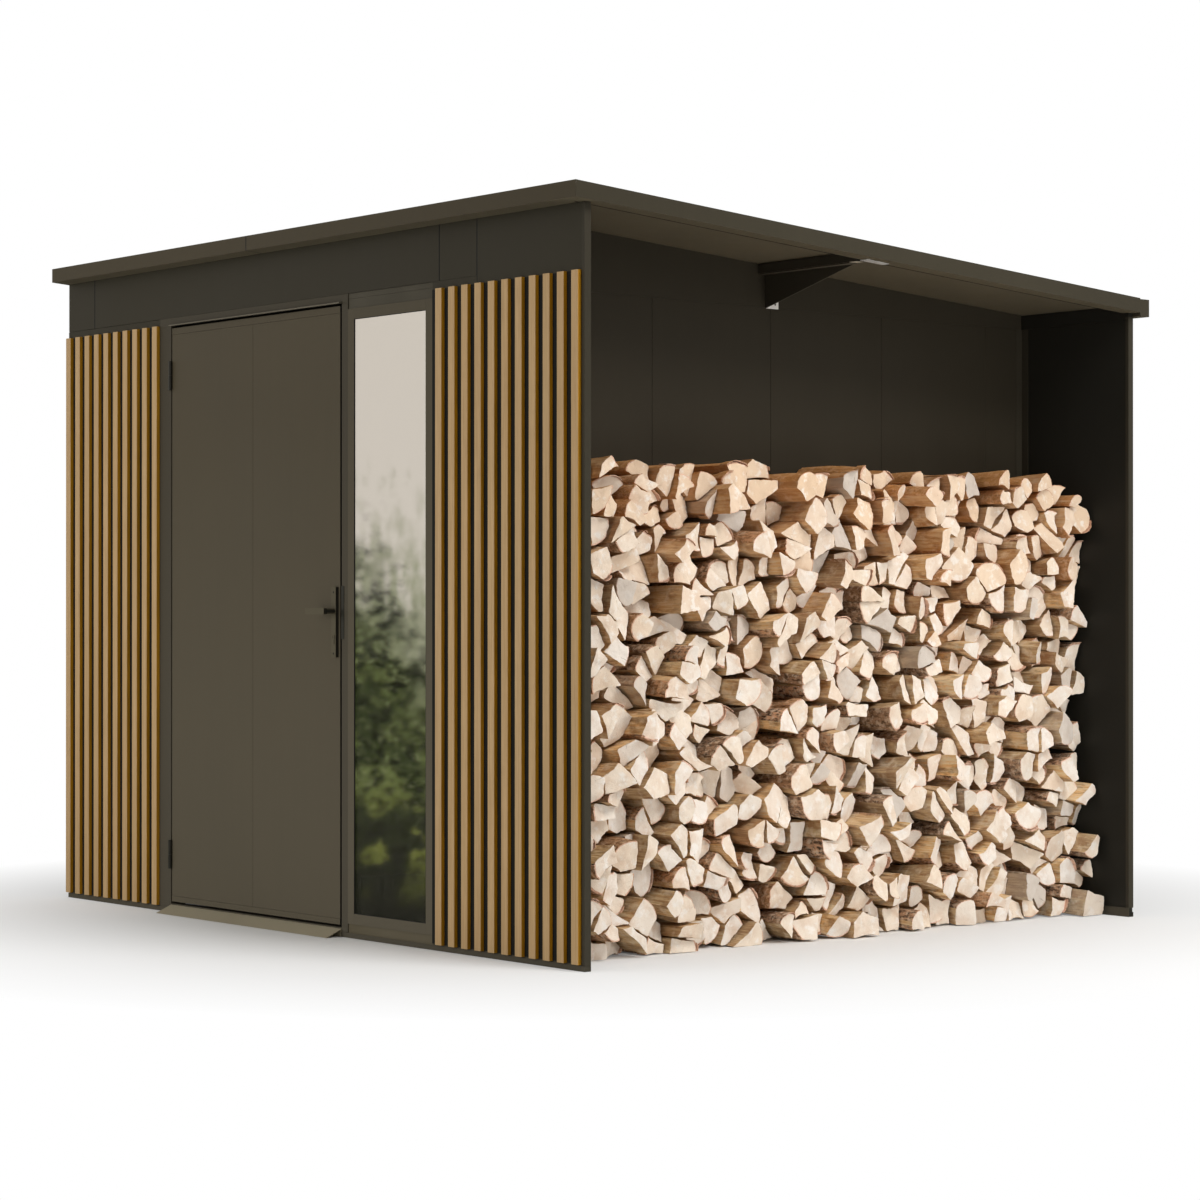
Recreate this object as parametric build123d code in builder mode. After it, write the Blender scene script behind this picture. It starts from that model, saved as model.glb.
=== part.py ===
from build123d import *
import math
import os
import random

os.makedirs("parts", exist_ok=True)

# Clearances and sheet
fit_gap = 0.3
trim_sheet = 1.5
edge_sheet = 2.0

# Walls
wall_thickness = 20
shed_depth = 2396
panel_module = 506.5
last_panel_width = 186
panel_chamfer = 1.2
base_leg_front = 15.5
base_leg_inside = 30
cap_leg = 13
narrowest_panel_share = 0.25

# Front wall, from left to right
left_slat_count = 10
right_slat_count = 11
slat_width = 31.5
slat_pitch = 64.8
slat_depth = 12.4
slat_chamfer = 1.0
slat_foot = 19
slat_head = 23.5
slat_end_gap = 3.5
left_jamb_width = 70.3
door_opening_width = 1011.5
right_jamb_width = 32.8
window_width = 443.8
right_panel_width = 221.9
bay_width = 480
wing_overlap = 4.5
frieze_end_width = 180
frieze_short_width = 187

# Front wall, from the ground up
sill_height = 28.6
door_opening_height = 1972.2
head_height = 28.2
frieze_height = 171
window_bottom = 44
window_head = 49
window_head_strip = 31.5
infill_recess = 3

# Roof
roof_pitch = 4.04
roof_over_front = 62
roof_over_back = 45.5
roof_over_left = 12.5
roof_over_right = 33
right_edge_return = 67
edge_height = 48.2
edge_lip = 25
edge_top_return = 12
front_edge_joint = 1257
roof_panel_count = 6
roof_panel_thickness = 16
roof_seam_width = 30
roof_seam_height = 4.5
roof_drip = 14
gutter_drop = 58
back_rail_height = 49

# Door leaf and its frame
leaf_thickness = 30
leaf_gap_hinge = 6.4
leaf_gap_lock = 9.3
leaf_gap_head = 7.8
leaf_gap_foot = 8.4
leaf_top_rail = 21.5
leaf_bottom_rail = 18.5
leaf_chamfer = 0.9
frame_depth = 50
stop_width = 13
stop_gap = 5
drip_strip_height = 6
drip_strip_depth = 11
ramp_depth = 60
ramp_height = 25

# Window
window_face = 33
window_rebate = 13
window_lip = 2
window_depth = 40
glass_thickness = 6
glass_edge_gap = 1
bead_depth = 15

# Hinges, lift-off, two on the left jamb
hinge_height = 98
hinge_inset = 112
knuckle_radius = 6
hinge_pin_radius = 3
hinge_plate = 3
hinge_plate_width = 18
hinge_tab_depth = 22
knuckle_gap = 1
running_gap = 0.3

# Handle
handle_height = 1028
handle_inset = 21.6
handle_plate_width = 25
handle_plate_below = 146
handle_plate_above = 77
handle_plate_thickness = 10.5
handle_plate_corner = 2
lever_length = 104
lever_height = 20
lever_thickness = 12
lever_corner = 3
lever_reach = 55
neck_radius = 9
spindle_size = 8
spindle_hole_radius = 12
cylinder_drop = 82
cylinder_radius = 8.5
cylinder_slot_width = 10
cylinder_slot_drop = 22
cylinder_proud = 1.5
strike_width = 13
strike_depth = 22
strike_top = 80
strike_length = 168

# Roof bracket over the log bay
arm_center = 1139
arm_width = 34
arm_height = 29
gusset_height = 110
gusset_thickness = 3
gusset_tip_gap = 32
foot_width = 53
foot_hole_radius = 4
foot_hole_inset = 39.5
foot_hole_height = 15
tip_plate_inset = 16
tip_plate_length = 97
tip_plate_reach = 30
corner_angle_width = 30

# Firewood
log_course_count = 16
log_course_height = 92.5
logs_per_course = 20
log_length = 328
log_length_spread = 55
log_gap = 0.4
log_shift_across = 0.26
log_shift_up = 0.24
log_split_share = 0.35
log_shortest_edge = 6
log_cell_reach = 2.5
log_neighbour_reach = 3.5
courses_per_node = 2
log_seed = 11

# Places across the width, from the roof outline's centre line
left_slats_width = (left_slat_count - 1) * slat_pitch + slat_width + slat_end_gap
wing_width = bay_width + wall_thickness + wing_overlap
shed_width = (
    left_slats_width + left_jamb_width + door_opening_width + right_jamb_width
    + window_width + right_panel_width + wing_width
)
roof_width = roof_over_left + shed_width + roof_over_right
roof_left = -roof_width / 2
roof_right = roof_width / 2
left_face = roof_left + roof_over_left
left_inner = left_face + wall_thickness
right_end = left_face + shed_width
opening_left = left_face + left_slats_width + left_jamb_width
opening_right = opening_left + door_opening_width
left_jamb_edge = opening_left - left_jamb_width
right_jamb_edge = opening_right + right_jamb_width
window_left = right_jamb_edge + fit_gap
window_right = right_jamb_edge + window_width - fit_gap
wing_start = right_end - wing_width
bay_face = right_end - bay_width
room_right = bay_face - wall_thickness
right_slats_end = right_end - fit_gap - cap_leg - slat_end_gap
right_slats_start = right_slats_end - (right_slat_count - 1) * slat_pitch - slat_width
notch_x = roof_right - right_edge_return - fit_gap

# Places along the depth
roof_depth = roof_over_front + shed_depth + roof_over_back
roof_front = -roof_depth / 2
roof_back = roof_depth / 2
front_face = roof_front + roof_over_front
front_inner = front_face + wall_thickness
back_face = front_face + shed_depth
back_inner = back_face - wall_thickness
rail_clear = 2 * fit_gap + trim_sheet
side_start = front_inner + rail_clear
side_end = back_inner - rail_clear

# Heights
opening_top = sill_height + door_opening_height
frieze_seam = opening_top + head_height
eave_height = frieze_seam + frieze_height
window_top = frieze_seam - window_head
slat_top = frieze_seam - slat_head
panel_foot = trim_sheet + fit_gap
fall = math.tan(math.radians(roof_pitch))
down_slope = (0, math.cos(math.radians(roof_pitch)), -math.sin(math.radians(roof_pitch)))


def edge_bottom(y):
    """Height of the underside of the roof's edge profile at a depth."""
    return eave_height - fall * (y - front_face)


def soffit(y):
    """Height of the underside of the roof panels at a depth."""
    return edge_bottom(y) + edge_lip


def slope_length(y_from, y_to):
    """Distance along the roof between two depths."""
    return (y_to - y_from) / math.cos(math.radians(roof_pitch))


side_panel_top = soffit(back_face) - back_rail_height
wing_front_top = edge_bottom(front_inner + rail_clear) - fit_gap
gutter_top = edge_bottom(roof_back) + edge_height
gutter_bottom = gutter_top - gutter_drop
wing_back_top = edge_bottom(back_face) - fit_gap
back_cap_top = min(wing_back_top, gutter_bottom - fit_gap)


def slab(x_from, x_to, y_from, y_to, z_from, z_to):
    """Add a flat panel between two corners to the part being built."""
    with Locations((x_from, y_from, z_from)):
        Box(x_to - x_from, y_to - y_from, z_to - z_from, align=(Align.MIN, Align.MIN, Align.MIN))


def extrude_outline(plane, points, amount, direction=None):
    """Extrude a closed outline into the part being built."""
    with BuildSketch(plane) as outline:
        with BuildLine():
            Polyline(*points, close=True)
        make_face()
    extrude(outline.sketch, amount=amount, dir=direction)


def across(y):
    """Vertical plane facing the front, drawn in X and Z."""
    return Plane.XZ.offset(-y)


def along(x):
    """Vertical plane facing the right, drawn in Y and Z."""
    return Plane.YZ.offset(x)


def level(z):
    """Horizontal plane, drawn in X and Y."""
    return Plane.XY.offset(z)


def channel_section(low, high, low_leg, high_leg):
    """U section of a base rail round a wall, as (across, up)."""
    inner_low = low - fit_gap
    inner_high = high + fit_gap
    return [
        (inner_low - trim_sheet, 0),
        (inner_high + trim_sheet, 0),
        (inner_high + trim_sheet, high_leg),
        (inner_high, high_leg),
        (inner_high, trim_sheet),
        (inner_low, trim_sheet),
        (inner_low, low_leg),
        (inner_low - trim_sheet, low_leg),
    ]


def stepped_section(edge, inward, front, front_width, step, back_width, depth):
    """Section of a frame member whose front and back parts differ in width."""
    front_edge = edge + inward * front_width
    back_edge = edge + inward * back_width
    return [
        (edge, front),
        (front_edge, front),
        (front_edge, front + step),
        (back_edge, front + step),
        (back_edge, front + depth),
        (edge, front + depth),
    ]


def edge_section(width):
    """Folded sheet section of the roof edge, as (inward, up)."""
    inner = width - edge_sheet
    lip_top = edge_lip - fit_gap
    under_top = edge_height - edge_sheet
    return [
        (0, 0),
        (width, 0),
        (width, lip_top),
        (inner, lip_top),
        (inner, edge_sheet),
        (edge_sheet, edge_sheet),
        (edge_sheet, under_top),
        (edge_top_return, under_top),
        (edge_top_return, edge_height),
        (0, edge_height),
    ]


def mitre_plane(side, side_return):
    """Vertical cut through a front corner of the roof edge, facing the side profile."""
    corner = (side * roof_width / 2, roof_front, 0)
    return Plane(origin=corner, x_dir=(0, 0, 1), z_dir=(side * front_return, side_return, 0))


def panel_spans(start, end, seams):
    """Ends of the panels that seams cut between start and end."""
    edges = [start] + [seam for seam in sorted(seams) if start < seam < end] + [end]
    spans = []
    for low, high in zip(edges, edges[1:]):
        low_end = low if low == start else low + fit_gap
        high_end = high if high == end else high - fit_gap
        spans.append((low_end, high_end))
    return spans


def seams_from(first, end, step):
    """Places of seams from the first one towards an end, leaving a wide last panel."""
    count = int(abs(end - first) / abs(step) - narrowest_panel_share)
    return [first + step * index for index in range(count + 1)]


side_seams = seams_from(back_inner - last_panel_width, front_inner, -panel_module)
back_seams = seams_from(wing_start, left_face, -panel_module)
front_return = roof_over_front - fit_gap
left_return = roof_over_left - fit_gap

# Base rails that the wall panels stand in
front_rail = channel_section(front_face, front_inner, base_leg_front, base_leg_front)
back_rail = channel_section(back_inner, back_face, base_leg_inside, base_leg_front)
left_rail = channel_section(left_face, left_inner, base_leg_front, base_leg_inside)
bay_rail = channel_section(room_right, bay_face, base_leg_inside, base_leg_inside)
with BuildPart() as base_rails:
    extrude_outline(along(left_face), front_rail, left_slats_width + left_jamb_width)
    extrude_outline(along(opening_right), front_rail, right_end - opening_right)
    extrude_outline(along(left_face), back_rail, shed_width)
    for rail in (left_rail, bay_rail):
        extrude_outline(across(side_end), rail, side_end - side_start)
base_rails.part.label = "base_rails"
export_step(base_rails.part, "parts/base_rails.step")

# Front wall panels
with BuildPart() as front_wall_left:
    slab(left_face, left_jamb_edge - fit_gap, front_face, front_inner, panel_foot, frieze_seam - fit_gap)
    chamfer(front_wall_left.edges().filter_by(Axis.X).group_by(Axis.Y)[0], panel_chamfer)
front_wall_left.part.label = "front_wall_left"
export_step(front_wall_left.part, "parts/front_wall_left.step")

with BuildPart() as front_wall_right:
    slab(window_right + fit_gap, wing_start - fit_gap, front_face, front_inner,
         panel_foot, frieze_seam - fit_gap)
    chamfer(front_wall_right.edges().filter_by(Axis.Z).group_by(Axis.Y)[0], panel_chamfer)
front_wall_right.part.label = "front_wall_right"
export_step(front_wall_right.part, "parts/front_wall_right.step")

wing_panel_end = right_end - trim_sheet - fit_gap
wing_top = soffit(front_inner) - fit_gap
with BuildPart() as front_wing:
    with BuildSketch(across(front_inner)):
        with BuildLine():
            Polyline(
                (wing_start, panel_foot),
                (wing_panel_end, panel_foot),
                (wing_panel_end, wing_front_top),
                (notch_x, wing_front_top),
                (notch_x, wing_top),
                (wing_start, wing_top),
                close=True,
            )
        make_face()
    extrude(amount=wall_thickness)
front_wing.part.label = "front_wing"
export_step(front_wing.part, "parts/front_wing.step")

frieze_cuts = [left_face + frieze_end_width, wing_start - frieze_short_width]
with BuildPart() as front_frieze:
    for span_from, span_to in panel_spans(left_face, wing_start - fit_gap, frieze_cuts):
        slab(span_from, span_to, front_face, front_inner, frieze_seam + fit_gap, wing_top)
    chamfer(front_frieze.edges().filter_by(Axis.Z).group_by(Axis.Y)[0], panel_chamfer)
front_frieze.part.label = "front_frieze"
export_step(front_frieze.part, "parts/front_frieze.step")

with BuildPart() as window_infill:
    for low, high in (
        (panel_foot, window_bottom - fit_gap),
        (window_top + fit_gap, window_top + window_head_strip - fit_gap),
        (window_top + window_head_strip + fit_gap, frieze_seam - fit_gap),
    ):
        slab(window_left, window_right, front_face + infill_recess, front_inner, low, high)
window_infill.part.label = "window_infill"
export_step(window_infill.part, "parts/window_infill.step")

# Left wall, log bay wall and back wall
with BuildPart() as left_wall:
    for span_from, span_to in panel_spans(side_start, side_end, side_seams):
        slab(left_face, left_inner, span_from, span_to, panel_foot, side_panel_top)
    chamfer(left_wall.edges().filter_by(Axis.Z).group_by(Axis.X)[0], panel_chamfer)
left_wall.part.label = "left_wall"
export_step(left_wall.part, "parts/left_wall.step")

with BuildPart() as bay_wall:
    for span_from, span_to in panel_spans(side_start, side_end, side_seams):
        slab(room_right, bay_face, span_from, span_to, panel_foot, side_panel_top)
    chamfer(bay_wall.edges().filter_by(Axis.Z).group_by(Axis.X)[-1], panel_chamfer)
bay_wall.part.label = "bay_wall"
export_step(bay_wall.part, "parts/bay_wall.step")

wedge_outline = [
    (side_start, side_panel_top + fit_gap),
    (side_end, side_panel_top + fit_gap),
    (side_end, soffit(side_end) - fit_gap),
    (side_start, soffit(side_start) - fit_gap),
]
with BuildPart() as left_gable:
    extrude_outline(along(left_face), wedge_outline, wall_thickness)
left_gable.part.label = "left_gable"
export_step(left_gable.part, "parts/left_gable.step")

with BuildPart() as bay_gable:
    extrude_outline(along(room_right), wedge_outline, wall_thickness)
bay_gable.part.label = "bay_gable"
export_step(bay_gable.part, "parts/bay_gable.step")

with BuildPart() as back_wall:
    for span_from, span_to in panel_spans(left_face, wing_panel_end, back_seams):
        slab(span_from, span_to, back_inner, back_face, panel_foot, side_panel_top)
    chamfer(back_wall.edges().filter_by(Axis.Z).group_by(Axis.Y)[-1], panel_chamfer)
back_wall.part.label = "back_wall"
export_step(back_wall.part, "parts/back_wall.step")

with BuildPart() as back_top_rail:
    with BuildSketch(across(back_face)):
        with BuildLine():
            Polyline(
                (left_face, side_panel_top + fit_gap),
                (wing_panel_end, side_panel_top + fit_gap),
                (wing_panel_end, wing_back_top),
                (notch_x, wing_back_top),
                (notch_x, soffit(back_face) - fit_gap),
                (left_face, soffit(back_face) - fit_gap),
                close=True,
            )
        make_face()
    extrude(amount=wall_thickness)
back_top_rail.part.label = "back_top_rail"
export_step(back_top_rail.part, "parts/back_top_rail.step")

# Folded trims: U caps on the ends of the two wings, angles in the corners of the log bay
def end_cap_section(low, high):
    """U section that closes the outer edge of a wing, as (x, y)."""
    inner_low = low - fit_gap
    inner_high = high + fit_gap
    return [
        (right_end - cap_leg, inner_low - trim_sheet),
        (right_end, inner_low - trim_sheet),
        (right_end, inner_high + trim_sheet),
        (right_end - cap_leg, inner_high + trim_sheet),
        (right_end - cap_leg, inner_high),
        (right_end - trim_sheet, inner_high),
        (right_end - trim_sheet, inner_low),
        (right_end - cap_leg, inner_low),
    ]


front_cap_foot = base_leg_front + fit_gap
back_cap_foot = base_leg_inside + fit_gap
with BuildPart() as wing_end_caps:
    extrude_outline(level(front_cap_foot), end_cap_section(front_face, front_inner),
                    wing_front_top - front_cap_foot)
    extrude_outline(level(back_cap_foot), end_cap_section(back_inner, back_face),
                    back_cap_top - back_cap_foot)
wing_end_caps.part.label = "wing_end_caps"
export_step(wing_end_caps.part, "parts/wing_end_caps.step")


def angle_section(corner_x, corner_y, inward):
    """L section of an inside corner, as (x, y)."""
    return [
        (corner_x, corner_y),
        (corner_x + corner_angle_width, corner_y),
        (corner_x + corner_angle_width, corner_y + inward * trim_sheet),
        (corner_x + trim_sheet, corner_y + inward * trim_sheet),
        (corner_x + trim_sheet, corner_y + inward * corner_angle_width),
        (corner_x, corner_y + inward * corner_angle_width),
    ]


with BuildPart() as bay_corner_angles:
    for corner_y, inward in ((front_inner + fit_gap, 1), (back_inner - fit_gap, -1)):
        extrude_outline(level(back_cap_foot), angle_section(bay_face + fit_gap, corner_y, inward),
                        side_panel_top - back_cap_foot)
bay_corner_angles.part.label = "bay_corner_angles"
export_step(bay_corner_angles.part, "parts/bay_corner_angles.step")

# Timber-look slats on the front
with BuildPart() as left_slats:
    for index in range(left_slat_count):
        slat_x = left_face + index * slat_pitch
        slab(slat_x, slat_x + slat_width, front_face - fit_gap - slat_depth, front_face - fit_gap,
             slat_foot, slat_top)
    chamfer(left_slats.edges().filter_by(Axis.Z).group_by(Axis.Y)[0], slat_chamfer)
left_slats.part.label = "left_slats"
export_step(left_slats.part, "parts/left_slats.step")

with BuildPart() as right_slats:
    for index in range(right_slat_count):
        slat_x = right_slats_start + index * slat_pitch
        slab(slat_x, slat_x + slat_width, front_face - fit_gap - slat_depth, front_face - fit_gap,
             slat_foot, slat_top)
    chamfer(right_slats.edges().filter_by(Axis.Z).group_by(Axis.Y)[0], slat_chamfer)
right_slats.part.label = "right_slats"
export_step(right_slats.part, "parts/right_slats.step")

# Door frame: two jambs and a head with a stop behind the leaf, a sill, a drip strip and a ramp
jamb_foot = base_leg_front + fit_gap
stop_front = leaf_thickness + stop_gap
head_section = stepped_section(frieze_seam - fit_gap, -1, front_face, head_height - fit_gap,
                               stop_front, head_height - fit_gap + stop_width, frame_depth)
with BuildPart() as door_frame:
    extrude_outline(
        level(jamb_foot),
        stepped_section(left_jamb_edge, 1, front_face, left_jamb_width,
                        stop_front, left_jamb_width + stop_width, frame_depth),
        opening_top - fit_gap - jamb_foot,
    )
    extrude_outline(
        level(jamb_foot),
        stepped_section(right_jamb_edge, -1, front_face, right_jamb_width,
                        stop_front, right_jamb_width + stop_width, frame_depth),
        opening_top - fit_gap - jamb_foot,
    )
    head_outline = [(depth_at, height) for height, depth_at in head_section]
    stop_left = opening_left + stop_width + fit_gap
    stop_right = opening_right - stop_width - fit_gap
    extrude_outline(along(stop_left), head_outline, stop_right - stop_left)
    for x_from, x_to in ((left_jamb_edge, stop_left), (stop_right, right_jamb_edge)):
        slab(x_from, x_to, front_face, front_face + frame_depth, opening_top, frieze_seam - fit_gap)
door_frame.part.label = "door_frame"
export_step(door_frame.part, "parts/door_frame.step")

with BuildPart() as door_sill:
    slab(opening_left + fit_gap, opening_right - fit_gap, front_face,
         front_face + stop_front - fit_gap, 0, sill_height)
door_sill.part.label = "door_sill"
export_step(door_sill.part, "parts/door_sill.step")

strip_back = front_face - fit_gap
strip_foot = opening_top + fit_gap
with BuildPart() as door_drip_strip:
    with BuildSketch(along(opening_left)):
        with BuildLine():
            Polyline(
                (strip_back, strip_foot),
                (strip_back, strip_foot + drip_strip_height),
                (strip_back - drip_strip_depth, strip_foot + drip_strip_height / 2),
                (strip_back - drip_strip_depth, strip_foot),
                close=True,
            )
        make_face()
    extrude(amount=door_opening_width)
door_drip_strip.part.label = "door_drip_strip"
export_step(door_drip_strip.part, "parts/door_drip_strip.step")

ramp_back = front_face - fit_gap
ramp_toe = front_face - ramp_depth
ramp_run = ramp_back - ramp_toe
sheet_drop = edge_sheet * math.hypot(ramp_run, ramp_height) / ramp_run
with BuildPart() as door_ramp:
    with BuildSketch(along(opening_left + fit_gap)):
        with BuildLine():
            Polyline(
                (ramp_toe, 0),
                (ramp_back, ramp_height),
                (ramp_back, 0),
                (ramp_back - edge_sheet, 0),
                (ramp_back - edge_sheet, ramp_height * (1 - edge_sheet / ramp_run) - sheet_drop),
                (ramp_toe + sheet_drop * ramp_run / ramp_height, 0),
                close=True,
            )
        make_face()
    extrude(amount=door_opening_width - 2 * fit_gap)
door_ramp.part.label = "door_ramp"
export_step(door_ramp.part, "parts/door_ramp.step")

# Window: four frame bars with a rebate, the pane and four beads behind it
body_width = window_face - window_rebate
left_bar = stepped_section(window_left, 1, front_face, window_face, window_lip, body_width, window_depth)
right_bar = stepped_section(window_right, -1, front_face, window_face, window_lip, body_width, window_depth)
bottom_bar = stepped_section(window_bottom, 1, front_face, window_face, window_lip, body_width, window_depth)
top_bar = stepped_section(window_top, -1, front_face, window_face, window_lip, body_width, window_depth)
pane_left = window_left + body_width + glass_edge_gap
pane_right = window_right - body_width - glass_edge_gap
pane_bottom = window_bottom + body_width + glass_edge_gap
pane_top = window_top - body_width - glass_edge_gap
pane_front = front_face + window_lip + fit_gap
with BuildPart() as window_frame:
    for section in (left_bar, right_bar):
        extrude_outline(level(window_bottom), section, window_top - window_bottom)
    bar_start = window_left + window_face + fit_gap
    for section in (bottom_bar, top_bar):
        outline = [(depth_at, height) for height, depth_at in section]
        extrude_outline(along(bar_start), outline, window_right - window_face - fit_gap - bar_start)
window_frame.part.label = "window_frame"
export_step(window_frame.part, "parts/window_frame.step")

with BuildPart() as window_glass:
    slab(pane_left, pane_right, pane_front, pane_front + glass_thickness, pane_bottom, pane_top)
window_glass.part.label = "window_glass"
export_step(window_glass.part, "parts/window_glass.step")

bead_front = pane_front + glass_thickness + fit_gap
bead_back = bead_front + bead_depth
bead_width = window_rebate - fit_gap
with BuildPart() as window_beads:
    bead_left = window_left + body_width + fit_gap
    bead_right = window_right - body_width - fit_gap
    bead_bottom = window_bottom + window_face - window_rebate + fit_gap
    bead_top = window_top - window_face + window_rebate - fit_gap
    for x_from in (bead_left, bead_right - bead_width):
        slab(x_from, x_from + bead_width, bead_front, bead_back, bead_bottom, bead_top)
    inner_from = bead_left + bead_width + fit_gap
    inner_to = bead_right - bead_width - fit_gap
    for z_from in (bead_bottom, bead_top - bead_width):
        slab(inner_from, inner_to, bead_front, bead_back, z_from, z_from + bead_width)
window_beads.part.label = "window_beads"
export_step(window_beads.part, "parts/window_beads.step")

# Roof panels with a raised cap over each seam
panel_from = roof_left + edge_sheet + fit_gap
panel_to = roof_right - edge_sheet - fit_gap
panel_step = (panel_to - panel_from) / roof_panel_count
roof_seams = [panel_from + panel_step * index for index in range(1, roof_panel_count)]
deck_front = roof_front + edge_sheet + fit_gap
deck_length = slope_length(deck_front, back_face + roof_drip)
with BuildPart() as roof_panels:
    for span_from, span_to in panel_spans(panel_from, panel_to, roof_seams):
        low = soffit(deck_front)
        outline = [
            (span_from, low),
            (span_to, low),
            (span_to, low + roof_panel_thickness),
            (span_from, low + roof_panel_thickness),
        ]
        extrude_outline(across(deck_front), outline, deck_length, down_slope)
roof_panels.part.label = "roof_panels"
export_step(roof_panels.part, "parts/roof_panels.step")

cap_from = deck_front + edge_top_return
cap_base = soffit(cap_from) + roof_panel_thickness + fit_gap
cap_top_inset = roof_seam_height
with BuildPart() as roof_seam_caps:
    for seam in roof_seams:
        outline = [
            (seam - roof_seam_width / 2, cap_base),
            (seam + roof_seam_width / 2, cap_base),
            (seam + roof_seam_width / 2 - cap_top_inset, cap_base + roof_seam_height),
            (seam - roof_seam_width / 2 + cap_top_inset, cap_base + roof_seam_height),
        ]
        extrude_outline(across(cap_from), outline, slope_length(cap_from, back_face), down_slope)
roof_seam_caps.part.label = "roof_seam_caps"
export_step(roof_seam_caps.part, "parts/roof_seam_caps.step")

# Roof edge profiles: front in two lengths, both sides, mitred at the front corners
front_outline = [
    (roof_front + inward, edge_bottom(roof_front + inward) + up) for inward, up in edge_section(front_return)
]
joint_x = roof_left + front_edge_joint
with BuildPart() as front_edge:
    extrude_outline(along(roof_left), front_outline, joint_x - fit_gap / 2 - roof_left)
    extrude_outline(along(joint_x + fit_gap / 2), front_outline, roof_right - joint_x - fit_gap / 2)
    split(bisect_by=mitre_plane(-1, left_return).offset(-fit_gap / 2), keep=Keep.BOTTOM)
    split(bisect_by=mitre_plane(1, right_edge_return).offset(-fit_gap / 2), keep=Keep.BOTTOM)
front_edge.part.label = "front_edge"
export_step(front_edge.part, "parts/front_edge.step")

side_edge_length = slope_length(roof_front, back_face)
left_outline = [
    (roof_left + inward, edge_bottom(roof_front) + up) for inward, up in edge_section(left_return)
]
with BuildPart() as left_edge:
    extrude_outline(across(roof_front), left_outline, side_edge_length, down_slope)
    split(bisect_by=mitre_plane(-1, left_return).offset(fit_gap / 2), keep=Keep.TOP)
left_edge.part.label = "left_edge"
export_step(left_edge.part, "parts/left_edge.step")

right_outline = [
    (roof_right - inward, edge_bottom(roof_front) + up) for inward, up in edge_section(right_edge_return)
]
with BuildPart() as right_edge:
    extrude_outline(across(roof_front), right_outline, side_edge_length, down_slope)
    split(bisect_by=mitre_plane(1, right_edge_return).offset(fit_gap / 2), keep=Keep.TOP)
right_edge.part.label = "right_edge"
export_step(right_edge.part, "parts/right_edge.step")

# Gutter along the low back edge, an open trough with closed ends
gutter_front = back_face + fit_gap
gutter_inner_top = soffit(back_face + roof_drip) - fit_gap
with BuildPart() as back_gutter:
    with BuildSketch(along(roof_left)):
        with BuildLine():
            Polyline(
                (gutter_front, gutter_bottom),
                (roof_back, gutter_bottom),
                (roof_back, gutter_top),
                (roof_back - edge_sheet, gutter_top),
                (roof_back - edge_sheet, gutter_bottom + edge_sheet),
                (gutter_front + edge_sheet, gutter_bottom + edge_sheet),
                (gutter_front + edge_sheet, gutter_inner_top),
                (gutter_front, gutter_inner_top),
                close=True,
            )
        make_face()
    extrude(amount=roof_width)
    for end_x in (roof_left, roof_right - edge_sheet):
        slab(end_x, end_x + edge_sheet, gutter_front, roof_back, gutter_bottom, gutter_top)
back_gutter.part.label = "back_gutter"
export_step(back_gutter.part, "parts/back_gutter.step")

# Roof beam inside the room, in line with the bracket that carries the roof over the log bay
arm_front = front_face + arm_center - arm_width / 2
arm_back = arm_front + arm_width
arm_top = soffit(arm_back) - fit_gap
arm_bottom = arm_top - arm_height
arm_section = [
    (arm_front, arm_bottom),
    (arm_back, arm_bottom),
    (arm_back, arm_top),
    (arm_back - edge_sheet, arm_top),
    (arm_back - edge_sheet, arm_bottom + edge_sheet),
    (arm_front + edge_sheet, arm_bottom + edge_sheet),
    (arm_front + edge_sheet, arm_top),
    (arm_front, arm_top),
]
with BuildPart() as roof_beam:
    extrude_outline(along(left_inner + fit_gap), arm_section, room_right - left_inner - 2 * fit_gap)
roof_beam.part.label = "roof_beam"
export_step(roof_beam.part, "parts/roof_beam.step")

arm_start = bay_face + fit_gap
arm_end = notch_x - fit_gap
with BuildPart() as bracket_arm:
    extrude_outline(along(arm_start), arm_section, arm_end - arm_start)
bracket_arm.part.label = "bracket_arm"
export_step(bracket_arm.part, "parts/bracket_arm.step")

gusset_top = arm_bottom - fit_gap
with BuildPart() as bracket_gusset:
    with BuildSketch(across(arm_back)):
        with BuildLine():
            Polyline(
                (arm_start, gusset_top - gusset_height),
                (arm_end - gusset_tip_gap, gusset_top),
                (arm_start, gusset_top),
                close=True,
            )
        make_face()
    extrude(amount=gusset_thickness)
    slab(arm_start, arm_end - gusset_tip_gap, arm_front, arm_back,
         gusset_top - gusset_thickness, gusset_top)
bracket_gusset.part.label = "bracket_gusset"
export_step(bracket_gusset.part, "parts/bracket_gusset.step")

foot_from = arm_back + fit_gap
foot_low = gusset_top - gusset_height
with BuildPart() as bracket_foot:
    with BuildSketch(along(arm_start)):
        with BuildLine():
            Polyline(
                (foot_from, foot_low),
                (foot_from + foot_width, foot_low),
                (foot_from + foot_width, gusset_top),
                (foot_from, gusset_top),
                close=True,
            )
        make_face()
        with Locations((foot_from + foot_hole_inset, foot_low + foot_hole_height)):
            Circle(foot_hole_radius, mode=Mode.SUBTRACT)
    extrude(amount=edge_sheet)
bracket_foot.part.label = "bracket_foot"
export_step(bracket_foot.part, "parts/bracket_foot.step")

tip_from = arm_front + tip_plate_inset
tip_left = notch_x + fit_gap
tip_top = edge_bottom(tip_from) - fit_gap
with BuildPart() as bracket_tip:
    tip_section = [
        (tip_left, tip_top - edge_sheet),
        (tip_left + tip_plate_reach, tip_top - edge_sheet),
        (tip_left + tip_plate_reach, tip_top),
        (tip_left, tip_top),
    ]
    extrude_outline(across(tip_from), tip_section,
                    slope_length(tip_from, tip_from + tip_plate_length), down_slope)
bracket_tip.part.label = "bracket_tip"
export_step(bracket_tip.part, "parts/bracket_tip.step")

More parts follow.
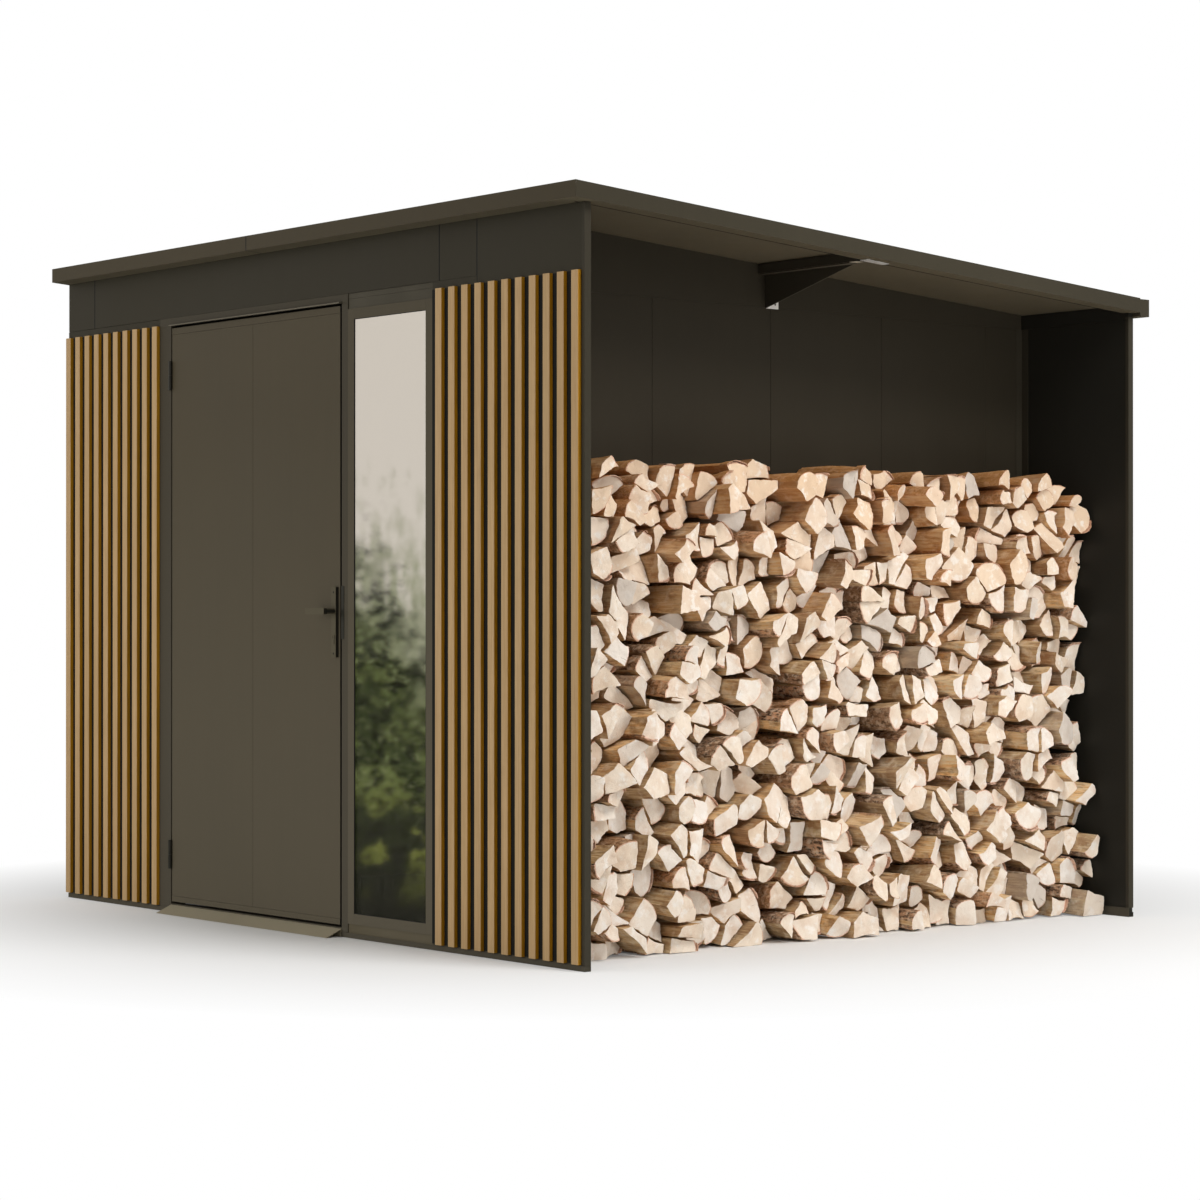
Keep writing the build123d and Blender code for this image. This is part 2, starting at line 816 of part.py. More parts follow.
# Door leaf: two flat panels that meet at the middle, with a rail at the head and the foot
leaf_left = opening_left + leaf_gap_hinge
leaf_right = opening_right - leaf_gap_lock
leaf_bottom = sill_height + leaf_gap_foot
leaf_top = opening_top - leaf_gap_head
leaf_back = front_face + leaf_thickness
leaf_middle = (leaf_left + leaf_right) / 2
handle_x = leaf_right - handle_inset
with BuildPart() as door_panels:
    for span_from, span_to in panel_spans(leaf_left, leaf_right, [leaf_middle]):
        slab(span_from, span_to, front_face, leaf_back,
             leaf_bottom + leaf_bottom_rail + fit_gap, leaf_top - leaf_top_rail - fit_gap)
    chamfer(door_panels.faces().sort_by(Axis.Y)[:2].edges(), leaf_chamfer)
    with BuildSketch(across(front_face)):
        with Locations((handle_x, handle_height)):
            Circle(spindle_hole_radius)
    extrude(amount=-leaf_thickness, mode=Mode.SUBTRACT)
door_panels.part.label = "door_panels"
export_step(door_panels.part, "parts/door_panels.step")

with BuildPart() as door_rails:
    slab(leaf_left, leaf_right, front_face, leaf_back, leaf_bottom, leaf_bottom + leaf_bottom_rail)
    slab(leaf_left, leaf_right, front_face, leaf_back, leaf_top - leaf_top_rail, leaf_top)
door_rails.part.label = "door_rails"
export_step(door_rails.part, "parts/door_rails.step")

# Lift-off hinges: the lower half with the pin is on the jamb, the upper half is on the leaf
hinge_x = opening_left + leaf_gap_hinge / 2
hinge_y = front_face - fit_gap - hinge_plate - knuckle_radius / 2
knuckle_length = (hinge_height - knuckle_gap) / 2
hinge_feet = [leaf_bottom + hinge_inset, leaf_top - hinge_inset - hinge_height]
with BuildPart() as hinge_jamb_halves:
    for foot in hinge_feet:
        with BuildSketch(level(foot)):
            with Locations((hinge_x, hinge_y)):
                Circle(knuckle_radius)
        extrude(amount=knuckle_length)
        slab(hinge_x - hinge_plate_width, hinge_x, front_face - fit_gap - hinge_plate,
             front_face - fit_gap, foot, foot + knuckle_length)
        with BuildSketch(level(foot + knuckle_length)):
            with Locations((hinge_x, hinge_y)):
                Circle(hinge_pin_radius)
        extrude(amount=knuckle_length - knuckle_gap)
hinge_jamb_halves.part.label = "hinge_jamb_halves"
export_step(hinge_jamb_halves.part, "parts/hinge_jamb_halves.step")

tab_right = leaf_left - fit_gap
tab_left = tab_right - hinge_plate + fit_gap
with BuildPart() as hinge_leaf_halves:
    for foot in hinge_feet:
        half_foot = foot + knuckle_length + knuckle_gap
        slab(tab_left, tab_right, hinge_y, front_face + hinge_tab_depth, half_foot, half_foot + knuckle_length)
        with BuildSketch(level(half_foot)):
            with Locations((hinge_x, hinge_y)):
                Circle(knuckle_radius)
        extrude(amount=knuckle_length)
        with BuildSketch(level(half_foot)):
            with Locations((hinge_x, hinge_y)):
                Circle(hinge_pin_radius + running_gap)
        extrude(amount=knuckle_length - knuckle_gap, mode=Mode.SUBTRACT)
hinge_leaf_halves.part.label = "hinge_leaf_halves"
export_step(hinge_leaf_halves.part, "parts/hinge_leaf_halves.step")

# Handle: a long plate on each face, two levers on one spindle, lock cylinder and strike plate
plate_low = handle_height - handle_plate_below
plate_high = handle_height + handle_plate_above
outer_plate_back = front_face - fit_gap
inner_plate_front = leaf_back + fit_gap
with BuildPart() as handle_plates:
    for plate_back in (outer_plate_back, inner_plate_front + handle_plate_thickness):
        with BuildSketch(across(plate_back)):
            with Locations((handle_x, (plate_low + plate_high) / 2)):
                RectangleRounded(handle_plate_width, plate_high - plate_low, handle_plate_corner)
            with Locations((handle_x, handle_height)):
                Circle(neck_radius + running_gap, mode=Mode.SUBTRACT)
        extrude(amount=handle_plate_thickness)
handle_plates.part.label = "handle_plates"
export_step(handle_plates.part, "parts/handle_plates.step")

arm_depth = lever_reach - lever_thickness
with BuildPart() as door_levers:
    for start, outward in ((front_face, -1), (leaf_back, 1)):
        with BuildSketch(across(start)):
            with Locations((handle_x, handle_height)):
                Circle(neck_radius)
        extrude(amount=-outward * arm_depth)
        with BuildSketch(across(start + outward * arm_depth)):
            with Locations((handle_x + lever_height / 2 - lever_length / 2, handle_height)):
                RectangleRounded(lever_length, lever_height, lever_corner)
        extrude(amount=-outward * lever_thickness)
door_levers.part.label = "door_levers"
export_step(door_levers.part, "parts/door_levers.step")

with BuildPart() as lever_spindle:
    slab(handle_x - spindle_size / 2, handle_x + spindle_size / 2, front_face + fit_gap,
         leaf_back - fit_gap, handle_height - spindle_size / 2, handle_height + spindle_size / 2)
lever_spindle.part.label = "lever_spindle"
export_step(lever_spindle.part, "parts/lever_spindle.step")

cylinder_faces = [
    outer_plate_back - handle_plate_thickness - fit_gap,
    inner_plate_front + handle_plate_thickness + fit_gap + cylinder_proud,
]
with BuildPart() as lock_cylinder:
    for face_y in cylinder_faces:
        with BuildSketch(across(face_y)):
            with Locations((handle_x, handle_height - cylinder_drop)):
                Circle(cylinder_radius)
            with Locations((handle_x, handle_height - cylinder_drop - cylinder_slot_drop / 2)):
                Rectangle(cylinder_slot_width, cylinder_slot_drop)
        extrude(amount=cylinder_proud)
lock_cylinder.part.label = "lock_cylinder"
export_step(lock_cylinder.part, "parts/lock_cylinder.step")

strike_low = handle_height + strike_top - strike_length
with BuildPart() as strike_plate:
    with BuildSketch(level(strike_low)):
        with BuildLine():
            Polyline(
                (opening_right + strike_width, front_face - fit_gap),
                (opening_right + strike_width, front_face - fit_gap - trim_sheet),
                (opening_right - fit_gap - trim_sheet, front_face - fit_gap - trim_sheet),
                (opening_right - fit_gap - trim_sheet, front_face + strike_depth),
                (opening_right - fit_gap, front_face + strike_depth),
                (opening_right - fit_gap, front_face - fit_gap),
                close=True,
            )
        make_face()
    extrude(amount=strike_length)
strike_plate.part.label = "strike_plate"
export_step(strike_plate.part, "parts/strike_plate.step")

# Firewood: split logs stacked across the bay, each the cell of the pile nearest to its own centre
pile_front = side_start
pile_back = side_end
log_width = (pile_back - pile_front) / logs_per_course
chance = random.Random(log_seed)


def keep_behind(outline, point, normal):
    """Cut a convex outline by a line and keep the side away from the normal."""
    kept = []
    for start, end in zip(outline, outline[1:] + outline[:1]):
        start_side = (start[0] - point[0]) * normal[0] + (start[1] - point[1]) * normal[1]
        end_side = (end[0] - point[0]) * normal[0] + (end[1] - point[1]) * normal[1]
        if start_side <= 0:
            kept.append(start)
        if start_side * end_side < 0:
            share = start_side / (start_side - end_side)
            kept.append((start[0] + share * (end[0] - start[0]), start[1] + share * (end[1] - start[1])))
    return kept


def without_short_edges(outline):
    """Drop corners that are nearly on top of the one before."""
    kept = []
    for point in outline:
        if not kept or math.dist(point, kept[-1]) > log_shortest_edge:
            kept.append(point)
    if len(kept) > 3 and math.dist(kept[0], kept[-1]) <= log_shortest_edge:
        kept.pop()
    return kept


log_centers = []
for course in range(log_course_count + 1):
    stagger = 0.5 * (course % 2)
    for index in range(-1, logs_per_course + 1):
        center_y = pile_front + (index + 0.5 + stagger + chance.uniform(-1, 1) * log_shift_across) * log_width
        center_z = (course + 0.5 + chance.uniform(-1, 1) * log_shift_up) * log_course_height
        log_centers.append((course, center_y, center_z))


def log_cell(center_y, center_z):
    """The part of the pile nearer to this log's centre than to any other's."""
    reach_y = log_cell_reach * log_width
    reach_z = log_cell_reach * log_course_height
    low_y = max(pile_front, center_y - reach_y)
    high_y = min(pile_back, center_y + reach_y)
    low_z = max(0, center_z - reach_z)
    cell = [(low_y, low_z), (high_y, low_z), (high_y, center_z + reach_z), (low_y, center_z + reach_z)]
    for _, other_y, other_z in log_centers:
        away = (other_y - center_y, other_z - center_z)
        distance = math.hypot(*away)
        if 0 < distance < log_neighbour_reach * log_width and cell:
            normal = (away[0] / distance, away[1] / distance)
            reach = distance / 2 - log_gap / 2
            middle = (center_y + normal[0] * reach, center_z + normal[1] * reach)
            cell = keep_behind(cell, middle, normal)
    return cell


def split_log(cell):
    """Split a cell into two logs along a line through its middle."""
    middle = (sum(y for y, _ in cell) / len(cell), sum(z for _, z in cell) / len(cell))
    turn = chance.uniform(0, math.pi)
    normal = (math.cos(turn), math.sin(turn))
    near = (middle[0] - normal[0] * log_gap / 2, middle[1] - normal[1] * log_gap / 2)
    far = (middle[0] + normal[0] * log_gap / 2, middle[1] + normal[1] * log_gap / 2)
    return [keep_behind(cell, near, normal), keep_behind(cell, far, (-normal[0], -normal[1]))]


for node_index, first_course in enumerate(range(0, log_course_count, courses_per_node), start=1):
    last_course = min(first_course + courses_per_node, log_course_count) - 1
    with BuildPart() as firewood:
        logs = []
        for course, center_y, center_z in log_centers:
            if course < first_course or course > last_course or not pile_front < center_y < pile_back:
                continue
            cell = log_cell(center_y, center_z)
            pieces = split_log(cell) if chance.random() < log_split_share else [cell]
            for piece in pieces:
                corners = without_short_edges(piece)
                length = log_length + chance.uniform(-1, 1) * log_length_spread
                if len(corners) < 3:
                    continue
                with BuildSketch(along(bay_face + rail_clear), mode=Mode.PRIVATE) as end_face:
                    with BuildLine():
                        Polyline(*corners, close=True)
                    make_face()
                logs.append(extrude(end_face.sketch, amount=length, mode=Mode.PRIVATE))
        add(logs)
    firewood.part.label = f"firewood_{node_index}"
    export_step(firewood.part, f"parts/firewood_{node_index}.step")
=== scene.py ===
import math
import random

import bmesh
import bpy
import numpy as np
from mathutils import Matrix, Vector, noise


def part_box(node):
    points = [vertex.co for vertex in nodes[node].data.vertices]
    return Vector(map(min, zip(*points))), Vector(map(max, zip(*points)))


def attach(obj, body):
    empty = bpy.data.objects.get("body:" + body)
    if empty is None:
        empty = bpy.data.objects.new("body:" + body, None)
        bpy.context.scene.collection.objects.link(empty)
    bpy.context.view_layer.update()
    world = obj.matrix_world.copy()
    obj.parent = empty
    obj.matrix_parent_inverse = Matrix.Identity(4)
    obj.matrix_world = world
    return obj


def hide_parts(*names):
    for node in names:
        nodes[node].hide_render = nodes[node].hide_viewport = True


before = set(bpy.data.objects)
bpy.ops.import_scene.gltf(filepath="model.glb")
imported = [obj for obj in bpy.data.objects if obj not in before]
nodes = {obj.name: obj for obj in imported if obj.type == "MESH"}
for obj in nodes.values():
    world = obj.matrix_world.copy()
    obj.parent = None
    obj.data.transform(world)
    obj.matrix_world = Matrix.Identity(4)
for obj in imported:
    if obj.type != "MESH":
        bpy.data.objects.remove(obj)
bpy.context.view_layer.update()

# Camera of the photograph, in metres and degrees
CAMERA_PLACE = (8.0217, -6.6550, 1.0378)
CAMERA_TURN = 50.005
CAMERA_TILT = 0.155
CAMERA_LENS = 89.98
CAMERA_SENSOR = 36

# Lamps: name, place, target and size in metres, power in watts
LAMPS = (
    ("key_lamp", (6.0, 0.5, 6.0), (1.2, 0.0, 0.9), 2.6, 285.0),
    ("low_side_lamp", (4.0, 0.4, 0.35), (1.2, 0.0, 1.3), 1.2, 34.0),
    ("front_lamp", (-2.0, -7.5, 1.9), (0.0, -1.0, 1.0), 3.6, 125.0),
    ("low_front_lamp", (-0.3, -3.5, 0.3), (-0.3, -1.2, 0.9), 1.6, 15.0),
)
WORLD_STRENGTH = 0.46

# Colours as linear light
WALL_COLOR = (0.0320, 0.0280, 0.0185)
BAY_COLOR = (0.034, 0.0285, 0.0195)
# Back wall: the wall coating painted darker, as painted shade
BACK_WALL_PAINTED_SHADE_COLOR = (0.0185, 0.0175, 0.0140)
DOOR_COLOR = (0.063, 0.0515, 0.0320)
TRIM_COLOR = (0.049, 0.042, 0.029)
CAP_COLOR = (0.038, 0.033, 0.023)
WINDOW_COLOR = (0.067, 0.056, 0.036)
INFILL_LOW_COLOR = (0.096, 0.080, 0.050)
# Infill above the window, painted darker as painted shade under the eaves
INFILL_HIGH_PAINTED_SHADE_COLOR = (0.041, 0.036, 0.024)
ROOF_COLOR = (0.046, 0.039, 0.0255)
# Front and side roof edges: one coating, painted lighter at the front and darker at the sides as painted
# light and painted shade
FRONT_EDGE_PAINTED_LIGHT_COLOR = (0.0565, 0.0460, 0.0285)
SIDE_EDGE_PAINTED_SHADE_COLOR = (0.042, 0.036, 0.024)
# Undersides of the roof and its edges, painted paler: painted light bounced up from the floor
SOFFIT_PAINTED_LIGHT_COLOR = (0.128, 0.108, 0.070)
RAMP_COLOR = (0.272, 0.237, 0.162)
BRACKET_COLOR = (0.045, 0.039, 0.028)
# Undersides of the bracket, painted pale: painted light bounced up from the floor
BRACKET_UNDER_PAINTED_LIGHT_COLOR = (0.42, 0.37, 0.28)
STRIP_COLOR = (0.13, 0.115, 0.085)
FITTING_COLOR = (0.080, 0.069, 0.044)
# Near-black of the hinges and strike plate, also painted on the handle's side faces as painted shade
HINGE_BLACK_AND_SIDE_SHADE_COLOR = (0.020, 0.019, 0.014)
SCREW_COLOR = (0.020, 0.018, 0.014)
ZINC_COLOR = (0.84, 0.81, 0.76)
# Pale dust, also laid on low down on the coatings as painted light bounced up from the floor
DUST_AND_FLOOR_LIGHT_COLOR = (0.30, 0.27, 0.21)
SLAT_LIGHT = (0.52, 0.35, 0.178)
SLAT_DARK = (0.37, 0.230, 0.098)
SLAT_SIDE_COLOR = (0.42, 0.195, 0.005)
# Near-black of the strips between the slats: painted shade in the gaps
SLAT_GAP_SHADE_COLOR = (0.010, 0.010, 0.009)
# Black of rubber, keyholes and dirt in joints; also painted shade in the door's gaps and rebate, and along
# the roof edges' lips
RUBBER_AND_GAP_SHADE_COLOR = (0.012, 0.012, 0.011)
FLOOR_COLOR = (0.86, 0.86, 0.85)

# Coating: scale of its grain, heights over which the dust and the painted light from the floor fade, half
# widths of the dirt along a joint
COATING_GRAIN = 650.0
DUST_AND_FLOOR_LIGHT_HEIGHTS = (0.1, 1.9)
JOINT_LINE_EDGES = (0.0018, 0.0034)

# Joints in the front roof edge, from its left end, and in the frieze, from its two ends, in metres
FRONT_EDGE_JOINT = 1.257
FRIEZE_END_WIDTH = 0.180
FRIEZE_SHORT_WIDTH = 0.187

# Slats, in metres
SLAT_COUNT = 10
SLAT_WIDTH = 0.0315
# Strips of painted shade between the slats: their thickness, and their clearance from the window frame and
# the end cap
SLAT_GAP_SHADE_THICKNESS = 0.0003
SLAT_GAP_SHADE_CLEARANCE = 0.0004

# Screw heads: share of the radius, share of the rise and whether the ring is a hexagon, then radius and rise
SCREW_STEPS = 18
SCREW_PROFILE = ((1.0, 0.0, False), (1.0, 0.35, False), (0.86, 0.75, False), (0.55, 1.0, False),
                 (0.44, 1.0, True), (0.40, 0.1, True))
HANDLE_SCREW_SIZE = (0.0035, 0.0008)
ROOF_SCREW_SIZE = (0.006, 0.0022)
ROOF_SCREW_SHARES = (0.03, 0.2, 0.4, 0.6, 0.8, 0.97)

# Window gasket: its distance from the frame's edges, its width, its depth below the frame and above the glass
GASKET_LIP = 0.033
GASKET_WIDTH = 0.0018
GASKET_SINK = 0.0006
GASKET_GLASS_GAP = 0.00005

# Keyholes, and the near-black strips along the roof edge's lips, which are painted shade for the shadow gap
# there
KEYHOLE_WIDTH = 0.0018
SHADOW_LINE_WIDTH = 0.004
SHADOW_LINE_DEPTHS = (0.0006, -0.001)

# Firewood: lengths in metres, areas in square metres, angles in degrees
LOG_SEED = 7
LOG_POINT_STEP = 0.0080
LOG_RING_DEPTHS = (0.0016, 0.006, 0.017, 0.042, 0.09, 0.17)
LOG_CAP_SHARES = (0.86, 0.62, 0.34)
LOG_SHORTEST_EDGE = 0.008
LOG_LEAST_CORNER = 0.12
LOG_BIG_AREA = 0.0098
LOG_SMALL_AREA = 0.0066
LOG_LEAST_AREA = 0.0013
LOG_HOLLOW_SHARE = 0.45
LOG_BARK_SHARE = 0.8
LOG_STAGGER = (-0.030, 0.012)
LOG_STEEPEST_END = 27
LOG_END_SHARE = 0.98
LOG_DRIFT = 0.07
LOG_SHARP_ANGLE = 38
LOG_TOP_BAND = 0.055
RING_SCALE = 1300.0
CRACK_SCALES = (14.0, 22.0, 40.0)
BARK_THICKNESS = 0.0030
BARK_FLAP_SHARE = 0.42
BARK_FLAP_DEPTH = 0.035
SAWN_END, SPLIT_FACE, BARK, BARK_RIM = range(4)


def add_node(tree, kind, inputs=None, **settings):
    """Add a shader node, then set or link its inputs."""
    node = tree.nodes.new("ShaderNode" + kind)
    for name, value in settings.items():
        setattr(node, name, value)
    for key, value in (inputs or {}).items():
        if isinstance(value, bpy.types.NodeSocket):
            tree.links.new(value, node.inputs[key])
        else:
            node.inputs[key].default_value = value
    return node


def calculate(tree, operation, first, second=0.0, third=0.0):
    """Result of a math node."""
    return add_node(tree, "Math", {0: first, 1: second, 2: third}, operation=operation).outputs[0]


def move_scale(tree, vector, scale, offset=(0, 0, 0)):
    """A vector times a scale, plus an offset."""
    inputs = {0: vector, 1: scale, 2: offset}
    return add_node(tree, "VectorMath", inputs, operation="MULTIPLY_ADD").outputs[0]


def noise_value(tree, vector, scale, detail=3.0, roughness=0.55):
    """Cloudy value from 0 to 1."""
    inputs = {"Vector": vector, "Scale": scale, "Detail": detail, "Roughness": roughness}
    return add_node(tree, "TexNoise", inputs).outputs["Fac"]


def remap(tree, value, low, high, new_low=0.0, new_high=1.0):
    """Stretch a value from one range to another, and clamp it there."""
    inputs = {"Value": value, "From Min": low, "From Max": high, "To Min": new_low, "To Max": new_high}
    return add_node(tree, "MapRange", inputs).outputs["Result"]


def axis_of(tree, vector, axis):
    """One axis of a vector: X, Y or Z."""
    return add_node(tree, "SeparateXYZ", {0: vector}).outputs[axis]


def color_of(color):
    """A colour with its alpha."""
    return color if isinstance(color, bpy.types.NodeSocket) else (*color, 1.0)


def mix_color(tree, factor, first, second, blend="MIX"):
    """Mix of two colours."""
    inputs = {0: factor, 6: color_of(first), 7: color_of(second)}
    return add_node(tree, "Mix", inputs, data_type="RGBA", blend_type=blend).outputs[2]


def lay_over(tree, under, color, value, low, high, most):
    """A colour laid over another one where a value climbs through a range."""
    return mix_color(tree, remap(tree, value, low, high, 0.0, most), under, color)


def shade(color, amount):
    """A colour made lighter or darker."""
    return tuple(min(1.0, channel * amount) for channel in color)


def new_material(name, specular=0.5):
    """A material with only a Principled shader, its tree and that shader."""
    material = bpy.data.materials.new(name)
    material.use_nodes = True
    shader = material.node_tree.nodes["Principled BSDF"]
    shader.inputs["Specular IOR Level"].default_value = specular
    return material, material.node_tree, shader


def set_surface(tree, shader, color, roughness, height=None, distance=0.0005, strength=0.5):
    """Link the colour, roughness and bump of a surface."""
    tree.links.new(color, shader.inputs["Base Color"])
    tree.links.new(roughness, shader.inputs["Roughness"])
    if height is not None:
        bump = add_node(tree, "Bump", {"Height": height, "Strength": strength, "Distance": distance})
        tree.links.new(bump.outputs["Normal"], shader.inputs["Normal"])


def painted_metal(name, color, roughness=0.48, dust_and_floor_light=0.10, side_shade_color=None, underside_light_and_shade_color=None, joints=()):
    """Matt coated sheet with a fine grain, faint clouds of tone, and a paler colour towards the ground:
    partly dust, partly painted light bounced up from the floor.

    Faces that look along X can have a colour of their own, used as painted shade on the sides of the
    door leaf and the handle. Faces that look down can too: painted light under the roof edges and the
    bracket, painted shade under the door frame. The upright joints between sheets, given by their X,
    have a line of dirt along them."""
    material, tree, shader = new_material(name, 0.12)
    coordinates = add_node(tree, "TexCoord")
    place = coordinates.outputs["Object"]
    clouds = noise_value(tree, place, 1.7, 4.0)
    grain = noise_value(tree, place, COATING_GRAIN, 2.0)
    streaks = noise_value(tree, move_scale(tree, place, (30.0, 30.0, 2.0)), 1.0, 4.0)
    tone = mix_color(tree, remap(tree, clouds, 0.3, 0.7), shade(color, 0.93), shade(color, 1.07))
    tone = lay_over(tree, tone, shade(color, 1.22), streaks, 0.35, 0.75, 0.14)
    # Paler towards the ground: partly dust, partly painted light bounced up from the floor
    cloudy_height = calculate(tree, "MULTIPLY_ADD", clouds, 0.5, axis_of(tree, place, "Z"))
    tone = mix_color(tree, remap(tree, cloudy_height, *DUST_AND_FLOOR_LIGHT_HEIGHTS, dust_and_floor_light, 0.0), tone, DUST_AND_FLOOR_LIGHT_COLOR)
    normal = coordinates.outputs["Normal"]
    # Faces that look along X take a near-black: painted shade
    if side_shade_color is not None:
        sideways = calculate(tree, "ABSOLUTE", axis_of(tree, normal, "X"))
        tone = mix_color(tree, remap(tree, sideways, 0.75, 0.9), tone, side_shade_color)
    # Faces that look down take their own colour: painted light under the roof edges and bracket, painted
    # shade under the door frame
    if underside_light_and_shade_color is not None:
        tone = mix_color(tree, remap(tree, axis_of(tree, normal, "Z"), -0.9, -0.2), underside_light_and_shade_color, tone)
    for joint in joints:
        beside = calculate(tree, "ABSOLUTE", calculate(tree, "SUBTRACT", axis_of(tree, place, "X"), joint))
        tone = mix_color(tree, remap(tree, beside, *JOINT_LINE_EDGES), RUBBER_AND_GAP_SHADE_COLOR, tone)
    rough = remap(tree, clouds, 0.25, 0.75, roughness - 0.05, roughness + 0.07)
    set_surface(tree, shader, tone, rough, grain, 0.0003, 0.35)
    return material


def infill_sheet(name):
    """Coated infill plates: a pale one below the window, and one above it painted darker as painted shade
    under the eaves.
    """
    material, tree, shader = new_material(name, 0.12)
    place = add_node(tree, "TexCoord").outputs["Object"]
    clouds = noise_value(tree, place, 2.6, 4.0)
    grain = noise_value(tree, place, COATING_GRAIN, 2.0)
    # Above the window the plate is painted darker: painted shade under the eaves
    eaves_painted_shade = remap(tree, axis_of(tree, place, "Z"), 1.0, 1.1)
    tone = mix_color(tree, eaves_painted_shade, INFILL_LOW_COLOR, INFILL_HIGH_PAINTED_SHADE_COLOR)
    tone = lay_over(tree, tone, DUST_AND_FLOOR_LIGHT_COLOR, clouds, 0.3, 0.7, 0.12)
    set_surface(tree, shader, tone, remap(tree, clouds, 0.25, 0.75, 0.40, 0.5), grain, 0.0003, 0.35)
    return material


def roof_sheet(name):
    """Coated roof panels with fine dirt in the hollows of the top, and an underside painted paler than the
    top: painted light bounced up from the floor.
    """
    material, tree, shader = new_material(name, 0.25)
    coordinates = add_node(tree, "TexCoord")
    place = coordinates.outputs["Object"]
    clouds = noise_value(tree, place, 2.3, 5.0)
    grain = noise_value(tree, place, COATING_GRAIN, 2.0)
    streaks = noise_value(tree, move_scale(tree, place, (9.0, 1.1, 9.0)), 1.0, 5.0)
    cloudy = remap(tree, clouds, 0.3, 0.7)
    top = mix_color(tree, cloudy, shade(ROOF_COLOR, 0.92), shade(ROOF_COLOR, 1.12))
    top = lay_over(tree, top, DUST_AND_FLOOR_LIGHT_COLOR, streaks, 0.42, 0.80, 0.10)
    # The paler underside is painted light bounced up from the floor
    under = mix_color(tree, cloudy, shade(SOFFIT_PAINTED_LIGHT_COLOR, 0.95), shade(SOFFIT_PAINTED_LIGHT_COLOR, 1.05))
    upward = remap(tree, axis_of(tree, coordinates.outputs["Normal"], "Z"), -0.6, 0.2)
    tone = mix_color(tree, upward, under, top)
    set_surface(tree, shader, tone, remap(tree, clouds, 0.25, 0.75, 0.44, 0.58), grain, 0.0003, 0.35)
    return material


def slat_foil(name, first_x, pitch):
    """Timber-look foil on the slats' faces, each slat with its own grain, and a dark ochre on their sides."""
    material, tree, shader = new_material(name, 0.3)
    coordinates = add_node(tree, "TexCoord")
    place = coordinates.outputs["Object"]
    from_first = calculate(tree, "SUBTRACT", axis_of(tree, place, "X"), first_x)
    slat_number = calculate(tree, "FLOOR", calculate(tree, "DIVIDE", from_first, pitch))
    chance = add_node(tree, "TexWhiteNoise", {"W": slat_number}, noise_dimensions="1D")
    shifted = add_node(tree, "VectorMath", {0: place, 1: chance.outputs["Color"]}, operation="ADD").outputs[0]
    grain = noise_value(tree, move_scale(tree, shifted, (150.0, 40.0, 3.2)), 1.0, 6.0, 0.62)
    pores = noise_value(tree, move_scale(tree, shifted, (700.0, 200.0, 12.0)), 1.0, 3.0)
    figure = noise_value(tree, move_scale(tree, shifted, (34.0, 20.0, 0.9)), 1.0, 3.0)
    grainy = remap(tree, grain, 0.3, 0.7)
    face = mix_color(tree, grainy, SLAT_DARK, SLAT_LIGHT)
    face = lay_over(tree, face, shade(SLAT_LIGHT, 0.82), figure, 0.3, 0.7, 0.45)
    face = lay_over(tree, face, shade(SLAT_DARK, 0.6), pores, 0.56, 0.72, 0.5)
    slat_share = calculate(tree, "MULTIPLY", chance.outputs["Value"], 0.18)
    face = mix_color(tree, slat_share, face, shade(SLAT_DARK, 0.9))
    forward = calculate(tree, "MULTIPLY", axis_of(tree, coordinates.outputs["Normal"], "Y"), -1.0)
    side = mix_color(tree, grainy, shade(SLAT_SIDE_COLOR, 0.75), shade(SLAT_SIDE_COLOR, 1.2))
    tone = mix_color(tree, remap(tree, forward, 0.45, 0.8), side, face)
    rough = remap(tree, grain, 0.3, 0.7, 0.42, 0.56)
    set_surface(tree, shader, tone, rough, pores, 0.0004, 0.3)
    return material


def mirror_glass(name):
    """Solar control glass: a strong mirror that still lets a little light through."""
    material, tree, shader = new_material(name)
    shader.inputs["Base Color"].default_value = (0.71, 0.69, 0.65, 1.0)
    shader.inputs["Metallic"].default_value = 0.8
    shader.inputs["IOR"].default_value = 1.45
    shader.inputs["Transmission Weight"].default_value = 1.0
    place = add_node(tree, "TexCoord").outputs["Object"]
    film = noise_value(tree, place, 5.0, 3.0)
    tree.links.new(remap(tree, film, 0.3, 0.7, 0.014, 0.026), shader.inputs["Roughness"])
    waves = noise_value(tree, place, 1.6, 1.0)
    bump = add_node(tree, "Bump", {"Height": waves, "Strength": 0.04, "Distance": 0.004})
    tree.links.new(bump.outputs["Normal"], shader.inputs["Normal"])
    return material


def satin_metal(name, color, metallic, roughness):
    """Fittings in coated or plated metal with a fine brushed grain."""
    material, tree, shader = new_material(name, 0.3)
    shader.inputs["Metallic"].default_value = metallic
    place = add_node(tree, "TexCoord").outputs["Object"]
    brushed = noise_value(tree, move_scale(tree, place, (90.0, 90.0, 1500.0)), 1.0, 2.0)
    clouds = noise_value(tree, place, 18.0, 3.0)
    tone = mix_color(tree, remap(tree, clouds, 0.3, 0.7), shade(color, 0.85), shade(color, 1.12))
    rough = remap(tree, brushed, 0.3, 0.7, roughness - 0.06, roughness + 0.08)
    set_surface(tree, shader, tone, rough, brushed, 0.0002, 0.2)
    return material


def dull_black(name, color):
    """Dull black sealing profile or dark backing."""
    material, tree, shader = new_material(name, 0.2)
    place = add_node(tree, "TexCoord").outputs["Object"]
    specks = noise_value(tree, place, 420.0, 3.0)
    tone = mix_color(tree, specks, shade(color, 0.7), shade(color, 1.5))
    set_surface(tree, shader, tone, remap(tree, specks, 0.3, 0.7, 0.7, 0.85), specks, 0.0004, 0.4)
    return material


def log_facts(tree):
    """The place in a log, measured from its pith, and its tone, weathering and warmth."""
    place = add_node(tree, "Attribute", attribute_name="log_place").outputs["Vector"]
    tone = add_node(tree, "Attribute", attribute_name="log_tone").outputs["Color"]
    parts = add_node(tree, "SeparateColor", {0: tone})
    return place, parts.outputs[0], parts.outputs[1], parts.outputs[2]


